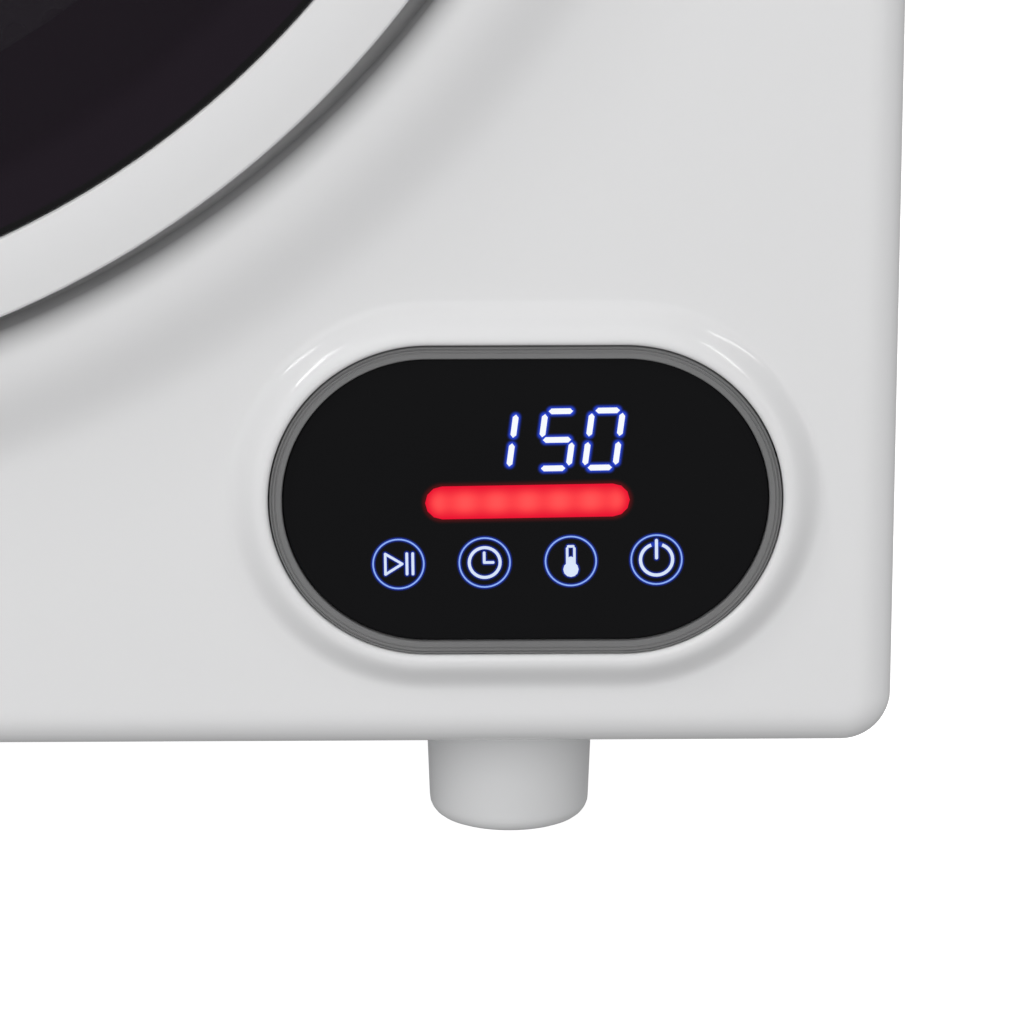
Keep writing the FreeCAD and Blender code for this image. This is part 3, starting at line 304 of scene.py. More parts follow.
def mouth_selected(piece, back):
    """In edit mode, select only the open edges that lie this many millimetres behind the front."""
    bpy.ops.mesh.select_mode(type="EDGE")
    bpy.ops.mesh.select_all(action="DESELECT")
    mesh = bmesh.from_edit_mesh(piece.data)
    for side in mesh.edges:
        if side.is_boundary and all(abs(end.co.y - FRONT - back * MM) < LEVEL for end in side.verts):
            side.select = True
    bmesh.update_edit_mesh(piece.data)


def finished(piece, body, slot, finish, *nodes, angle=30):
    """Shade, paint and place a piece on its body, in the place of the CAD nodes it stands for."""
    activate(piece)
    bpy.ops.object.shade_smooth_by_angle(angle=math.radians(angle))
    piece.data.materials.clear()
    piece.data.materials.append(finish.material)
    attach(piece, body)
    if nodes:
        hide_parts(*nodes)
    return piece


# ---- finishes ----


def moulded(name, colour, roughness, grain=900, depth=0.00002, shift=0.03, **constants):
    """Moulded or painted: a fine skin texture, slow changes of gloss and a trace of uneven colour."""
    finish = Finish(name, **constants)
    slow = finish.noise(14, 2.0)
    fine = finish.noise(grain, 2.0)
    darker = tuple(max(part - shift, 0.0) for part in colour)
    finish.feed("Base Color", finish.between(darker, colour, slow))
    finish.feed("Roughness", roughness - 0.04 + 0.08 * finish.noise(60, 3.0))
    finish.relief(fine, depth)
    return finish


def metal(name, colour, roughness, stretch=(1, 1, 1), scale=220, depth=0.00003, **constants):
    """Bare metal with rolling or turning marks along one axis."""
    finish = Finish(name, Metallic=1.0, **constants)
    marks = finish.noise(scale, 4.0, stretch)
    stain = finish.noise(9, 3.0)
    dull = tuple(part * 0.82 for part in colour)
    finish.feed("Base Color", finish.between(dull, colour, 0.5 * marks + 0.5 * stain))
    finish.feed("Roughness", roughness - 0.07 + 0.14 * marks)
    finish.relief(marks, depth)
    return finish


def white_plastic(name, colour):
    """Glossy white moulding with a faint flow texture and a few tiny specks."""
    finish = Finish(name, Specular_IOR_Level=0.42)
    slow = finish.noise(7, 2.0)
    speck = finish.node("ShaderNodeTexVoronoi", {}, {"Vector": finish.place, "Scale": 34.0}, "Distance")
    dot = finish.clipped(speck, 0.014, 0.008)
    clean = finish.between(tuple(part * 0.985 for part in colour), colour, slow)
    finish.feed("Base Color", finish.between(clean, (0.25, 0.24, 0.22), dot * 0.35))
    finish.feed("Roughness", 0.12 + 0.04 * finish.noise(40, 3.0))
    finish.relief(finish.noise(260, 2.0), 0.000012)
    return finish


def galvanised_sheet():
    """Zinc coated steel with its flower pattern."""
    finish = Finish("galvanised_sheet", Metallic=0.85)
    flower = finish.node("ShaderNodeTexVoronoi", {}, {"Vector": finish.place, "Scale": 90.0}, "Color")
    grey = finish.node("ShaderNodeSeparateColor", {}, {0: flower}, 0)
    finish.feed("Base Color", finish.between((0.42, 0.43, 0.44), (0.62, 0.63, 0.64), grey))
    finish.feed("Roughness", 0.38 + 0.14 * grey)
    finish.relief(finish.noise(150, 2.0), 0.00002)
    return finish


def drum_steel():
    """Stainless drum skin with rows of pressed dimples round it, each with a small air hole."""
    finish = Finish("drum_steel", Metallic=1.0)
    angle = finish.node("ShaderNodeMath", {"operation": "ARCTAN2"}, {0: finish.x, 1: finish.z - AXIS_Z})
    pitch = 0.0135
    skin_radius = 0.267
    rows_apart, rows_in_pitch = 0.866, 1.1547  # of a triangular pattern
    along = finish.y / pitch * rows_in_pitch
    row = finish.node("ShaderNodeMath", {"operation": "FLOOR"}, {0: along})
    near_u = (angle * (skin_radius / pitch) + 0.5 * row).off_middle()
    near_v = along.off_middle() * rows_apart
    far = (near_u * near_u + near_v * near_v) ** 0.5
    dimple = finish.clipped(far, 0.40, 0.16)
    hole = finish.clipped(far, 0.10, 0.08)
    marks = finish.noise(160, 3.0, (1, 8, 1))
    steel = finish.between((0.46, 0.47, 0.49), (0.66, 0.67, 0.69), marks)
    # Painted shade: the air holes are painted near black for the dark space behind the drum skin.
    finish.feed("Base Color", finish.between(steel, (0.01, 0.01, 0.01), hole))
    finish.feed("Roughness", 0.26 + 0.12 * marks)
    finish.relief(dimple, 0.0016)
    return finish


def pierced_back():
    """The drum's flat back: pressed steel with slanting rows of hooded air holes, with painted shade on the
    upper half of each hood.
    """
    finish = Finish("pierced_back_steel", Metallic=0.9)
    pitch = 0.0125
    lean_cos, lean_sin = 0.94, 0.34  # the rows lean 20 degrees
    near_u = ((finish.x * lean_cos + (finish.z - AXIS_Z) * lean_sin) / pitch).off_middle()
    near_v = (((finish.z - AXIS_Z) * lean_cos - finish.x * lean_sin) / pitch).off_middle()
    far = (near_u * near_u + near_v * near_v) ** 0.5
    radius = finish.from_axis()
    field = finish.clipped(radius, 0.105, 0.110) * finish.clipped(radius, 0.252, 0.247)
    hood = finish.clipped(far, 0.36, 0.30) * field
    # Painted shade: the upper half of each hood is painted near black, as if in the hood's shade; the lower
    # half is left lit.
    hood_shade = hood * finish.clipped(near_v, -0.12, 0.10)
    marks = finish.noise(120, 3.0)
    steel = finish.between((0.50, 0.51, 0.53), (0.68, 0.69, 0.71), marks)
    finish.feed("Base Color", finish.between(steel, (0.01, 0.01, 0.012), hood_shade))
    finish.feed("Roughness", 0.34 + 0.12 * marks)
    finish.relief(hood, 0.0016)
    return finish


def smoked_pane():
    """Dark violet-grey door glass, denser towards a near-black band round its edge."""
    finish = Finish("smoked_pane", Specular_IOR_Level=0.28, Roughness=0.05)
    radius = finish.from_axis()
    door = DOOR_RADIUS * MM
    band = finish.clipped(radius, door - 0.0190, door - 0.0185)
    veil = finish.clipped(radius, door - 0.036, door - 0.027)
    cloud = finish.noise(6, 2.0)
    finish.feed("Base Color", finish.between((0.0095, 0.0052, 0.0102), (0.003, 0.003, 0.0033), band))
    finish.feed("Alpha", 0.58 + 0.02 * cloud + 0.35 * veil + 0.05 * band)
    finish.relief(finish.noise(5, 1.0), 0.0002)
    return finish


def felt_cloth():
    """Pressed wool, its fibres longer from front to back."""
    finish = Finish("wool_felt", Sheen_Weight=0.6, Sheen_Roughness=0.5, Specular_IOR_Level=0.1)
    fibre = finish.noise(1600, 4.0, (1, 0.35, 1))
    finish.feed("Base Color", finish.between((0.22, 0.21, 0.19), (0.46, 0.44, 0.4), fibre))
    finish.feed("Roughness", 0.85 + 0.12 * fibre)
    finish.relief(fibre, 0.0003)
    return finish


def mesh_cloth():
    """Woven filter net: open squares between threads."""
    finish = Finish("filter_net", Specular_IOR_Level=0.3)
    pitch = 0.0011
    across = abs((finish.x / pitch).off_middle())
    upward = abs((finish.z / pitch).off_middle())
    thread = finish.node("ShaderNodeMath", {"operation": "MAXIMUM"}, {0: across, 1: upward})
    solid = finish.clipped(thread, 0.28, 0.36)
    finish.feed("Base Color", finish.between((0.30, 0.31, 0.33), (0.62, 0.64, 0.66), solid))
    finish.feed("Alpha", 0.25 + 0.75 * solid)
    finish.feed("Roughness", 0.5 + 0.2 * finish.noise(300, 2.0))
    finish.relief(solid, 0.0002)
    return finish


def ceramic_cells():
    """Heater block: rows of thin aluminium fins, with painted shade near black in the gaps between them."""
    finish = Finish("heater_fins", Metallic=0.7)
    pitch = 0.0022
    fin = abs((finish.x / pitch).off_middle())
    edge = finish.clipped(fin, 0.18, 0.3)
    # Painted shade: the gaps between the fins are painted near black.
    finish.feed("Base Color", finish.between((0.03, 0.03, 0.03), (0.66, 0.62, 0.56), edge))
    finish.feed("Roughness", 0.35 + 0.3 * finish.noise(120, 3.0))
    finish.relief(edge, 0.0008)
    return finish


def circuit_board():
    """Green lacquer over copper tracks."""
    finish = Finish("circuit_board", Specular_IOR_Level=0.5)
    grid = {"Vector": finish.place, "Scale": 160.0, "Mortar Size": 0.03}
    track = finish.node("ShaderNodeTexBrick", {}, grid, "Fac")
    finish.feed("Base Color", finish.between((0.01, 0.14, 0.06), (0.05, 0.3, 0.12), track))
    finish.feed("Roughness", 0.35 + 0.15 * finish.noise(80, 2.0))
    finish.relief(track, 0.00004)
    return finish


WHITE = (0.70, 0.70, 0.705)
FRONT_WHITE = white_plastic("front_white", WHITE)
RING_WHITE = white_plastic("ring_white", (0.665, 0.665, 0.67))
FOOT_GREY = moulded("foot_grey", (0.66, 0.663, 0.668), 0.38, Specular_IOR_Level=0.3)
BEZEL_GREY = moulded("bezel_grey", (0.175, 0.175, 0.176), 0.34, Specular_IOR_Level=0.4)
SMOKED = smoked_pane()

SLOT_FINISHES = {
    "white_panel": FRONT_WHITE,
    "white_steel": moulded("baked_white_enamel", WHITE, 0.33, 700, 0.000025, 0.015, Specular_IOR_Level=0.4),
    "grey_trim": BEZEL_GREY,
    "black_glass": moulded("back_of_glass", (0.02, 0.02, 0.022), 0.3),
    "display": moulded("display_body", (0.05, 0.05, 0.055), 0.45),
    "board": circuit_board(),
    "black_plastic": moulded("black_plastic", (0.045, 0.045, 0.048), 0.5, 1300, 0.00005),
    "galvanised": galvanised_sheet(),
    "stainless": drum_steel(),
    "lifter_plastic": moulded("lifter_plastic", (0.50, 0.51, 0.52), 0.42, 800, 0.00003),
    "steel": metal("turned_steel", (0.62, 0.62, 0.63), 0.3, (1, 1, 10)),
    "smoked_glass": SMOKED,
    "clear_glass": moulded(
        "clear_bowl_glass", (0.75, 0.79, 0.8), 0.09, 20, 0.00005, 0.02, Alpha=0.16, Specular_IOR_Level=0.5
    ),
    "grey_plastic": moulded("grey_plastic", (0.42, 0.43, 0.44), 0.45, 1000, 0.00004),
    "rubber": moulded("black_rubber", (0.035, 0.035, 0.036), 0.72, 1500, 0.00008),
    "felt": felt_cloth(),
    "filter_mesh": mesh_cloth(),
    "bronze": metal("oiled_bronze", (0.55, 0.36, 0.17), 0.4, (1, 12, 1)),
    "motor_paint": moulded("motor_enamel", (0.10, 0.11, 0.12), 0.42, 500, 0.00006),
    "ceramic": ceramic_cells(),
    "foot_plastic": FOOT_GREY,
}

# These nodes look different from the rest of their slot.
NODE_FINISHES = {
    "drum_back": pierced_back(),
    "door_liner": moulded("dark_door_liner", (0.055, 0.055, 0.058), 0.42, 900, 0.00004, 0.01),
}


# ---- CAD nodes keep their shapes and get their finishes ----


def paint_cad_nodes():
    """Give every CAD node its finish, and smooth its shading without touching its mesh."""
    slots = {part["node"]: part["material_slot"] for part in frame["record"]["subparts"]}
    for name, piece in frame["nodes"].items():
        finish = NODE_FINISHES.get(name, SLOT_FINISHES[slots[name]])
        piece.data.materials.clear()
        piece.data.materials.append(finish.material)
        for face in piece.data.polygons:
            face.use_smooth = True
        weld = piece.modifiers.new("Weld", "WELD")
        weld.merge_threshold = MERGE
        split = piece.modifiers.new("EdgeSplit", "EDGE_SPLIT")
        split.split_angle = math.radians(32)


# ---- front panel ----


def beyond_touch(place):
    """How many millimetres a place is outside the edge of the touch panel."""
    across = max(abs(place.x - TOUCH_X) - TOUCH_RUN, 0)
    return math.hypot(across, place.z - TOUCH_Z) / MM - TOUCH_END


RIM_FOOT = TOUCH_END + 14.5  # where the rim round the controls meets the flat, in millimetres


def ridge_line(recess, opening, foot):
    """From the flat over the soft ridge, down the recess and into the door's opening."""
    crest, height, roll = recess + 8, 7, 2.5
    floor, back = 15, 45
    hood = []
    for k in range(1, 9):
        turn = k * math.pi / 16
        hood.append((crest - 8 * math.sin(turn), -height * math.cos(turn)))
    return (
        [(foot, 0)]
        + slope((foot - 1, 0), (crest, -height), 14)
        + hood
        + [(recess, floor - roll)]
        + arc(recess - roll, floor - roll, roll, 0, 90, 4)[1:]
        + [(opening + roll, floor)]
        + arc(opening + roll, floor + roll, roll, 270, 180, 4)[1:]
        + [(opening, back)]
    )


def rim_line():
    """From beside the bezel over the soft rim and down to the flat."""
    inside, height, roll = TOUCH_END + 3.4, 5, 1.3
    return (
        [(inside, 3), (inside, roll - height)]
        + arc(inside + roll, roll - height, roll, 180, 270, 5)[1:]
        + slope((inside + 1.6, -height), (RIM_FOOT - 1, 0), 14)
        + [(RIM_FOOT, 0)]
    )


def make_front_panel():
    """The moulded front: a ridge round the door's recess, a rim round the controls, rolled outer edges."""
    wall, roll, skirt = 3, 9, 30
    recess = DOOR_RADIUS + 6.5
    opening = DOOR_RADIUS - 41.5
    foot = recess + 33
    edge = [(CORNER - roll - 1, 0)] + arc(CORNER - roll, roll, roll, -90, 0, 10) + [(CORNER, skirt)]
    panel = joined(
        "front_moulding",
        [
            carried("ridge", DOOR_CENTRE, ridge_line(recess, opening, foot), ROUND),
            carried("rim", TOUCH_CENTRES, rim_line(), STADIUM),
            carried("edge", CORNER_CENTRES, edge, 48),
        ],
    )
    bpy.ops.object.mode_set(mode="EDIT")
    mouth_selected(panel, 0)
    bpy.ops.mesh.fill(use_beauty=True)
    # The fill also covers the holes of the door and the controls, so those faces go again.
    bpy.ops.mesh.select_mode(type="FACE")
    bpy.ops.mesh.select_all(action="DESELECT")
    mesh = bmesh.from_edit_mesh(panel.data)
    for face in mesh.faces:
        out = [math.hypot(end.co.x, end.co.z - AXIS_Z) / MM for end in face.verts]
        on_ridge = all(abs(far - foot) < ON_LINE for far in out)
        on_rim = all(abs(beyond_touch(end.co) + TOUCH_END - RIM_FOOT) < ON_LINE for end in face.verts)
        if len(face.verts) == 3 and (on_ridge or on_rim):
            face.select = True
    bmesh.update_edit_mesh(panel.data)
    bpy.ops.mesh.delete(type="FACE")
    closed()
    if sum(face.normal.y * face.area for face in panel.data.polygons) > 0:
        activate(panel)
        panel.data.flip_normals()
    modified(panel, "SOLIDIFY", thickness=wall * MM, offset=-1)
    slot_low, slot_high = (-recess - 8.5) * MM, (-recess + 8) * MM
    hinge_half, latch_half = 48 * MM, 14 * MM
    hollowed(
        panel,
        block(
            "hinge_slot",
            (slot_low, FRONT - 9 * MM, AXIS_Z - hinge_half),
            (slot_high, FRONT + 19 * MM, AXIS_Z + hinge_half),
        ),
        block(
            "latch_hole",
            ((opening + 15) * MM, FRONT + 13 * MM, AXIS_Z - latch_half),
            ((opening + 35) * MM, FRONT + 20 * MM, AXIS_Z + latch_half),
        ),
    )
    finished(panel, "cabinet", "white_panel", FRONT_WHITE, "front_panel", angle=35)


# ---- controls ----


def make_bezel():
    """Grey surround: a flat ring, a fine step outside it, and a ledge behind the glass."""
    line = [(0.15, 0), (0.15, -3.9), (0.4, -4.2), (1.5, -4.2), (1.62, -4.02), (1.8, -4.0)]
    line += [(1.95, -4.2), (2.3, -4.2), (2.4, -3.8), (2.6, -3.8), (2.7, -4.1), (2.95, -4.1)]
    line += [(3.1, -3.8), (3.1, 8), (-4, 8), (-4, 0.02), (0.15, 0)]
    line = [(TOUCH_END + out, back) for out, back in line]
    bezel = carried("bezel_surround", TOUCH_CENTRES, line, STADIUM)
    finished(bezel, "cabinet", "grey_trim", BEZEL_GREY, "control_bezel")


# The lit symbols, in millimetres from the glass's centre.
DIGIT_SLANT = math.tan(math.radians(8.1))
DIGIT_ROW = 14.55  # height of the digits' middle line
DIGIT_HALF = 0.68  # half width of a digit's stroke
SEGMENTS = {
    "top": ((-2.2, 6.9), (2.2, 6.9)),
    "middle": ((-2.65, 0.0), (2.65, 0.0)),
    "bottom": ((-2.2, -6.9), (2.2, -6.9)),
    "upper_left": ((-3.6, 1.35), (-3.6, 5.6)),
    "upper_right": ((3.6, 1.35), (3.6, 5.6)),
    "lower_left": ((-3.6, -5.6), (-3.6, -1.35)),
    "lower_right": ((3.6, -5.6), (3.6, -1.35)),
}
DIGITS = {
    "digit_one": (-6.55, ("upper_right", "lower_right")),
    "digit_five": (7.5, ("top", "upper_left", "middle", "lower_right", "bottom")),
    "digit_nought": (18.5, ("top", "upper_left", "upper_right", "lower_left", "lower_right", "bottom")),
}
KEY_ROW = -15.05  # height of the keys' centres
# Each key's place across; its strokes as start, end and half width from its centre;
# and its inner rings as radius, half width and the degrees left open each side of the top.
KEYS = {
    "key_play": (
        -30.3,
        [
            ((-3.1, -2.5), (-3.1, 2.5), 0.3),
            ((-3.1, 2.5), (0.9, 0), 0.3),
            ((0.9, 0), (-3.1, -2.5), 0.3),
            ((2.0, -2.5), (2.0, 2.5), 0.33),
            ((3.4, -2.5), (3.4, 2.5), 0.33),
        ],
        [],
    ),
    "key_timer": (-9.9, [((-0.1, 0), (-0.1, 2.4), 0.32), ((0.07, 0), (2.0, 0), 0.32)], [(3.65, 0.36, 0)]),
    "key_heat": (
        10.5,
        [
            ((-0.85, -0.9), (-0.85, 3.1), 0.3),
            ((0.85, -0.9), (0.85, 3.1), 0.3),
            ((-0.6, 3.6), (0.6, 3.6), 0.3),
            ((0, -0.9), (0, 0.3), 0.8),
            ((0, -2.1), (0, -2.0), 1.8),
        ],
        [],
    ),
    "key_power": (30.8, [((0, 0.4), (0, 4.7), 0.37)], [(3.8, 0.38, 20)]),
}
KEY_RING = (6.0, 0.17)  # radius and half width of the ring round every key
BAR = ((-19.75, -0.3), (20.55, -0.3), 4.0)  # the red bar: start, end and half width
LIT_LOW, LIT_HIGH = 0.02, 0.06  # millimetres that the lit marks stand off the glass


def on_glass(across, up):
    """A place on the glass in metres, from millimetres in the slightly turned display."""
    turned_x = across * math.cos(DISPLAY_TURN) - up * math.sin(DISPLAY_TURN)
    turned_z = across * math.sin(DISPLAY_TURN) + up * math.cos(DISPLAY_TURN)
    return Vector((TOUCH_X + turned_x * MM, 0, TOUCH_Z + turned_z * MM))


def digit_strokes(centre, lit):
    """The lit strokes of one digit, leaning to the right."""
    strokes = []
    for name in lit:
        ends = [(centre + x + z * DIGIT_SLANT, DIGIT_ROW + z) for x, z in SEGMENTS[name]]
        strokes.append((*ends, DIGIT_HALF))
    return strokes


def key_strokes(across, strokes):
    """A key's strokes moved to its place on the glass."""
    moved = []
    for start, end, half in strokes:
        ends = [(across + x, KEY_ROW + z) for x, z in (start, end)]
        moved.append((*ends, half))
    return moved


def stroke(start, end, half, pointed):
    """A thin lit bar from start to end on the glass, with pointed or round ends."""
    a, b = on_glass(*start), on_glass(*end)
    ahead = (b - a).normalized() * half * MM
    aside = Vector((-ahead.z, 0, ahead.x))
    turns = [0, 90, 180] if pointed else [0, 30, 60, 90, 120, 150, 180]
    outline = []
    for centre, way in ((b, 1), (a, -1)):
        for turn in turns:
            angle = math.radians(turn)
            outline.append(centre + way * (aside * math.cos(angle) + ahead * math.sin(angle)))
    level = Vector((0, GLASS_LOW.y - LIT_LOW * MM, 0))
    trace("stroke", [corner + level for corner in [*outline, outline[0]]])
    bpy.ops.mesh.edge_face_add()
    bpy.ops.mesh.extrude_region_move(TRANSFORM_OT_translate={"value": (0, (LIT_LOW - LIT_HIGH) * MM, 0)})
    return closed()


def hoop(centre, radius, half, gap):
    """A thin lit ring on the glass, open by gap degrees each side of its top."""
    x, _, z = on_glass(*centre)
    first = math.radians(gap)
    corners = [(-half, LIT_LOW), (half, LIT_LOW), (half, LIT_HIGH), (-half, LIT_HIGH), (-half, LIT_LOW)]
    middle, up = Vector((x, GLASS_LOW.y, z)), Vector((-math.sin(first), 0, math.cos(first)))
    trace("hoop", [middle + (up * (radius + out) - Vector((0, off, 0))) * MM for out, off in corners])
    bpy.ops.mesh.edge_face_add()
    sweep = math.tau - 2 * first
    bpy.ops.mesh.spin(steps=48, angle=sweep, center=(x, 0, z), axis=(0, 1, 0), use_auto_merge=False)
    if not gap:
        closed()
        bpy.ops.object.mode_set(mode="EDIT")
        bpy.ops.mesh.select_all(action="DESELECT")
        bpy.ops.mesh.select_interior_faces()
        bpy.ops.mesh.delete(type="FACE")
    return closed()


def lit(name, colour, strength, variation):
    """A glowing surface with a slightly uneven light."""
    finish = Finish(name, Emission_Strength=strength, Roughness=0.5, Specular_IOR_Level=0.0)
    finish.shader.inputs["Base Color"].default_value = (0.02, 0.02, 0.02, 1)
    darker = tuple(part * (1 - variation) for part in colour)
    finish.feed("Emission Color", finish.between(darker, colour, finish.noise(420, 2.0)))
    return finish


def distance_to(finish, strokes, hoops):
    """The distance in millimetres from the nearest of some strokes and hoops, over the glass."""
    nearest = None
    for start, end, half in strokes:
        a, b = on_glass(*start), on_glass(*end)
        run = b - a
        length = max(run.length_squared, 1e-12)
        dx = finish.x - a.x
        dz = finish.z - a.z
        part = finish.node("ShaderNodeClamp", {}, {0: dx * (run.x / length) + dz * (run.z / length)})
        gap_x = dx - part * run.x
        gap_z = dz - part * run.z
        far = (gap_x * gap_x + gap_z * gap_z) ** 0.5 * (1 / MM) - half
        nearest = far if nearest is None else far.maths("MINIMUM", nearest, far)
    for centre, radius, half in hoops:
        middle = on_glass(*centre)
        dx = finish.x - middle.x
        dz = finish.z - middle.z
        far = abs((dx * dx + dz * dz) ** 0.5 * (1 / MM) - radius) - half
        nearest = far if nearest is None else far.maths("MINIMUM", nearest, far)
    return nearest


def touch_glass_finish():
    """Black glass that shows the blue and red light spilling round the lit symbols behind it."""
    finish = Finish("touch_black_glass", Specular_IOR_Level=0.09, Roughness=0.06, Emission_Strength=1.0)
    digits = [bar for centre, lit_bars in DIGITS.values() for bar in digit_strokes(centre, lit_bars)]
    marks = []
    hoops = []
    for across, strokes, rings in KEYS.values():
        marks += key_strokes(across, strokes)
        hoops += [((across, KEY_ROW), radius, half) for radius, half, _ in rings]
        hoops.append(((across, KEY_ROW), *KEY_RING))
    digit_glow = finish.clipped(distance_to(finish, digits, []), 1.1, -0.1) ** 1.7
    key_glow = finish.clipped(distance_to(finish, marks, hoops), 0.62, -0.1) ** 1.5
    bar_glow = finish.clipped(distance_to(finish, [BAR], []), 1.6, -0.1) ** 2.0
    blue = finish.between((0.0, 0.0, 0.0), (0.018, 0.065, 0.72), 0.9 * digit_glow + 0.6 * key_glow)
    finish.feed("Emission Color", finish.between(blue, (0.45, 0.004, 0.008), bar_glow * 0.16))
    cloud = finish.noise(18, 2.0)
    finish.feed("Base Color", finish.between((0.0045, 0.0045, 0.005), (0.006, 0.006, 0.0065), cloud))
    finish.relief(finish.noise(9, 1.0), 0.0001)
    return finish


def red_bar_finish():
    """Red light pipe with a brighter spot over each of its lamps and a darker rim."""
    finish = Finish("red_light_bar", Emission_Strength=1.0, Roughness=0.4, Specular_IOR_Level=0.1)
    finish.shader.inputs["Base Color"].default_value = (0.1, 0.0, 0.0, 1)
    across = (finish.x - TOUCH_X) * (1 / MM)
    lamp_pitch = 7.4
    turns = (across - 0.5) * (math.tau / lamp_pitch)
    wave = turns.maths("COSINE", turns)
    inward = finish.clipped(distance_to(finish, [BAR], []), 0.2, -3.6)
    glow = inward * (0.8 + 0.2 * wave)
    finish.feed("Emission Color", finish.between((0.72, 0.003, 0.028), (1.0, 0.085, 0.085), glow))
    return finish


def make_touch_pane():
    """The black glass: a stadium with a rounded front edge, closed before and behind."""
    face, back = -3, -0.02
    line = [(-1, face), (-0.45, face), (-0.2, -2.93), (-0.05, -2.75), (0, -2.5), (0, back), (-1, back)]
    pane = carried("touch_pane", TOUCH_CENTRES, [(TOUCH_END + out, deep) for out, deep in line], STADIUM)
    activate(pane)
    bpy.ops.object.mode_set(mode="EDIT")
    for level in (face, back):
        mouth_selected(pane, level)
        bpy.ops.mesh.edge_face_add()
    closed()
    finished(pane, "cabinet", "black_glass", touch_glass_finish(), "touch_glass")


def make_lit_marks():
    white_light = lit("white_digit_light", (0.93, 0.96, 1.0), 1.0, 0.05)
    symbol_light = lit("pale_symbol_light", (0.72, 0.82, 1.0), 1.0, 0.12)
    ring_light = lit("blue_ring_light", (0.28, 0.46, 1.0), 1.0, 0.15)
    for name, (centre, lit_bars) in DIGITS.items():
        bars = [stroke(*bar, True) for bar in digit_strokes(centre, lit_bars)]
        finished(joined(name, bars), "cabinet", "display", white_light)
    for name, (across, strokes, rings) in KEYS.items():
        centre = (across, KEY_ROW)
        bars = [stroke(*bar, False) for bar in key_strokes(across, strokes)]
        bars += [hoop(centre, *ring) for ring in rings]
        finished(joined(name, bars), "cabinet", "display", symbol_light)
        finished(hoop(centre, *KEY_RING, 0), "cabinet", "display", ring_light).name = name + "_ring"
    finished(stroke(*BAR, False), "cabinet", "display", red_bar_finish()).name = "light_bar_face"


# ---- door ----


def make_door():
    """The white ring, with its hinge slot and finger scoop, and the smoked window in it."""
    lip = DOOR_RADIUS - 16.8  # the ring's inner edge, round the window
    inside = DOOR_RADIUS - 3
    roll, face, back, ledge, groove = 0.9, -22, 8, -17, -14
    line = (
        [(DOOR_RADIUS, back), (DOOR_RADIUS, face + roll)]
        + arc(DOOR_RADIUS - roll, face + roll, roll, 0, -90, 5)[1:]
        + [(lip + 0.9, face), (lip + 0.3, face + 0.15), (lip, face + 0.7)]
        + [(lip, ledge), (lip - 10, ledge), (lip - 10, groove), (lip + 3, groove)]
        + [(lip + 3, ledge - 2), (inside, ledge - 2), (inside, back), (DOOR_RADIUS, back)]
    )
    ring = carried("door_ring_cover", DOOR_CENTRE, line, ROUND)
    leaf_half, scoop_half = 30.5 * MM, 45 * MM
    hollowed(
        ring,
        block(
            "leaf_slot",
            ((-DOOR_RADIUS - 2) * MM, FRONT - 17.5 * MM, AXIS_Z - leaf_half),
            ((-DOOR_RADIUS + 12) * MM, FRONT - 10.5 * MM, AXIS_Z + leaf_half),
        ),
        block(
            "finger_scoop",
            ((DOOR_RADIUS - 8) * MM, FRONT - 10 * MM, AXIS_Z - scoop_half),
            ((DOOR_RADIUS + 3) * MM, FRONT + 9 * MM, AXIS_Z + scoop_half),
            2 * MM,
        ),
    )
    finished(ring, "door", "white_panel", RING_WHITE, "door_ring", angle=35)

    edge = lip - 0.3
    line = [(0, -21), (edge - 0.6, -21), (edge - 0.15, -20.85), (edge, -20.4), (edge, -17.02), (0, -17.02)]
    window = carried("smoked_window", DOOR_CENTRE, line, ROUND)
    finished(window, "door", "smoked_glass", SMOKED, "door_window")


# ---- feet ----


def make_feet():
    """Four tapered cups, each on a threaded stem."""
    sole_roll, thread_pitch = 4.6, 1.2
    for name in ("foot_front_left", "foot_front_right", "foot_rear_left", "foot_rear_right"):
        low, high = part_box(name)
        x, y = (low.x + high.x) / 2, (low.y + high.y) / 2
        radius = (high.x - low.x) / 2 / MM
        top = PANEL_LOW.z / MM - 0.2
        tip = high.z / MM
        thread = []
        level = top
        while level < tip - 1.5:
            thread += [(5.0, level), (4.5, level + thread_pitch / 2)]
            level += thread_pitch
        cup = arc(radius - 5.4, sole_roll, sole_roll, -90, 0, 6) + [(radius - 0.3, top * 0.6), (radius, top)]
        foot = stood(name + "_cup", x, y, [(0, 0), *cup, *thread, (4.2, tip), (0, tip)], 64)
        finished(foot, "levelling_" + name, "foot_plastic", FOOT_GREY, name, angle=45)


# ---- studio ----


def make_floor():
    """A pale floor and a pale wall far behind it, which light nothing and aren't reflected."""
    radius, height, level = 30, 30, CAD_BOX[0].z
    bpy.ops.object.select_all(action="DESELECT")
    bpy.ops.mesh.primitive_circle_add(radius=radius, vertices=96, fill_type="NGON", location=(0, 0, level))
    floor = bpy.context.object
    floor.name = "studio_floor"
    finish = Finish("pale_floor", Emission_Strength=1.0, Specular_IOR_Level=0.0, Roughness=0.9)
    pale = finish.between((0.50, 0.50, 0.50), (0.52, 0.52, 0.52), finish.noise(0.7, 2.0))
    finish.feed("Base Color", pale)
    finish.shader.inputs["Emission Color"].default_value = (0.92, 0.92, 0.92, 1)
    middle = (0, 0, level + height / 2)
    bpy.ops.mesh.primitive_cylinder_add(
        radius=radius - 0.1, depth=height, vertices=96, end_fill_type="NOTHING", location=middle
    )
    backdrop = bpy.context.object
    backdrop.name = "studio_backdrop"
    backdrop.visible_shadow = False
    for stage in (floor, backdrop):
        stage.data.materials.append(finish.material)
        stage.visible_diffuse = False
        stage.visible_glossy = False


def make_world():
    world = bpy.data.worlds.new("studio")
    world.use_nodes = True
    world.node_tree.nodes["Background"].inputs[0].default_value = (0.37, 0.37, 0.372, 1)
    bpy.context.scene.world = world


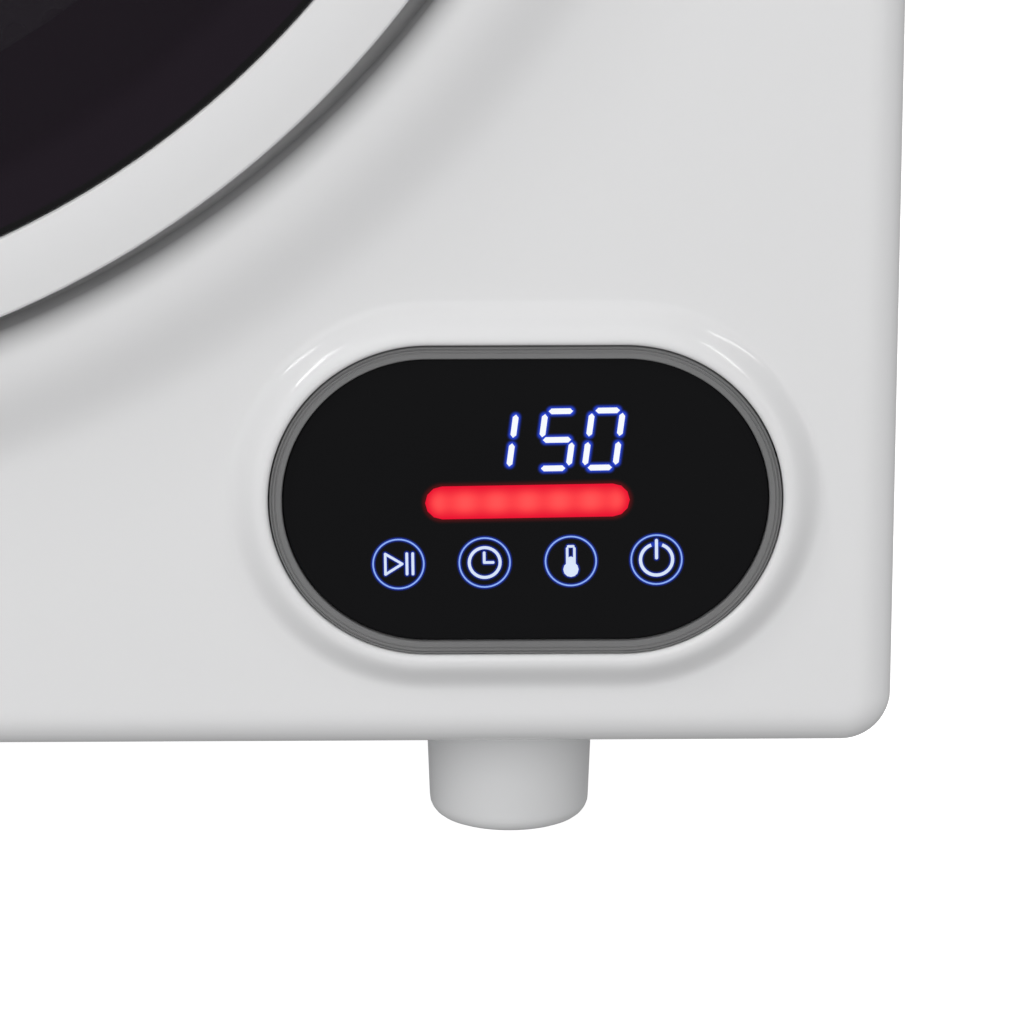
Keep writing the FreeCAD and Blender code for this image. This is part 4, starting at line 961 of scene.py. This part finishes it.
# Each lamp's place, aim, size and power, and whether glossy surfaces reflect it.
LAMPS = {
    "key_softbox": ((-0.9, -3.2, 1.5), (0, 0, 0.4), (2.0, 2.0), 57, False),
    "low_softbox": ((0.1, -3.4, 0.5), (0, 0, 0.3), (1.2, 1.2), 20, False),
    "left_strip": ((-2.2, -1.6, 2.4), (0, 0, 0.3), (0.2, 1.6), 18, True),
    "right_strip": ((2.4, -1.6, 2.2), (0, 0, 0.3), (0.2, 1.2), 9, True),
    "right_fill": ((2.3, -2.4, 0.35), (0, 0, 0.3), (1.2, 1.2), 4, True),
    "left_softbox": ((-3.0, 0.6, 0.9), (-0.3, 0, 0.35), (1.5, 1.5), 16, False),
    "right_softbox": ((3.0, 0.6, 0.9), (0.3, 0, 0.35), (1.5, 1.5), 16, False),
    "top_softbox": ((0, 0.5, 3.2), (0, 0, 0.69), (2.0, 2.0), 14, False),
    "back_softbox": ((0.8, 2.6, 1.8), (0, 0, 0.35), (1.8, 1.4), 34, False),
}
CAMERA_PLACE = (0.1802, -1.3714, 0.3938)
CAMERA_LENS = 179.3
CAMERA_TURN = (math.radians(90 - 14.64), 0, math.radians(-1.39))
CAMERA_ROLL = math.radians(0.14)


def make_lamp(name, place, aim, size, power, reflected):
    data = bpy.data.lights.new(name, "AREA")
    data.shape = "RECTANGLE"
    data.size, data.size_y = size
    data.energy = power
    lamp = bpy.data.objects.new(name, data)
    bpy.context.scene.collection.objects.link(lamp)
    lamp.location = place
    lamp.rotation_euler = (Vector(aim) - Vector(place)).to_track_quat("-Z", "Y").to_euler()
    lamp.visible_glossy = reflected


def make_camera():
    data = bpy.data.cameras.new("camera")
    data.lens = CAMERA_LENS
    data.sensor_width = 36
    data.clip_start = 0.05
    data.clip_end = 100
    camera = bpy.data.objects.new("camera", data)
    bpy.context.scene.collection.objects.link(camera)
    camera.location = CAMERA_PLACE
    turn = Euler(CAMERA_TURN).to_matrix() @ Matrix.Rotation(CAMERA_ROLL, 3, "Z")
    camera.rotation_euler = turn.to_euler()
    bpy.context.scene.camera = camera


def make_studio():
    make_floor()
    make_world()
    for name, settings in LAMPS.items():
        make_lamp(name, *settings)
    make_camera()
    bpy.context.scene.view_settings.view_transform = "Standard"


paint_cad_nodes()
make_front_panel()
make_bezel()
make_touch_pane()
make_lit_marks()
make_door()
make_feet()
make_studio()

bpy.context.view_layer.update()
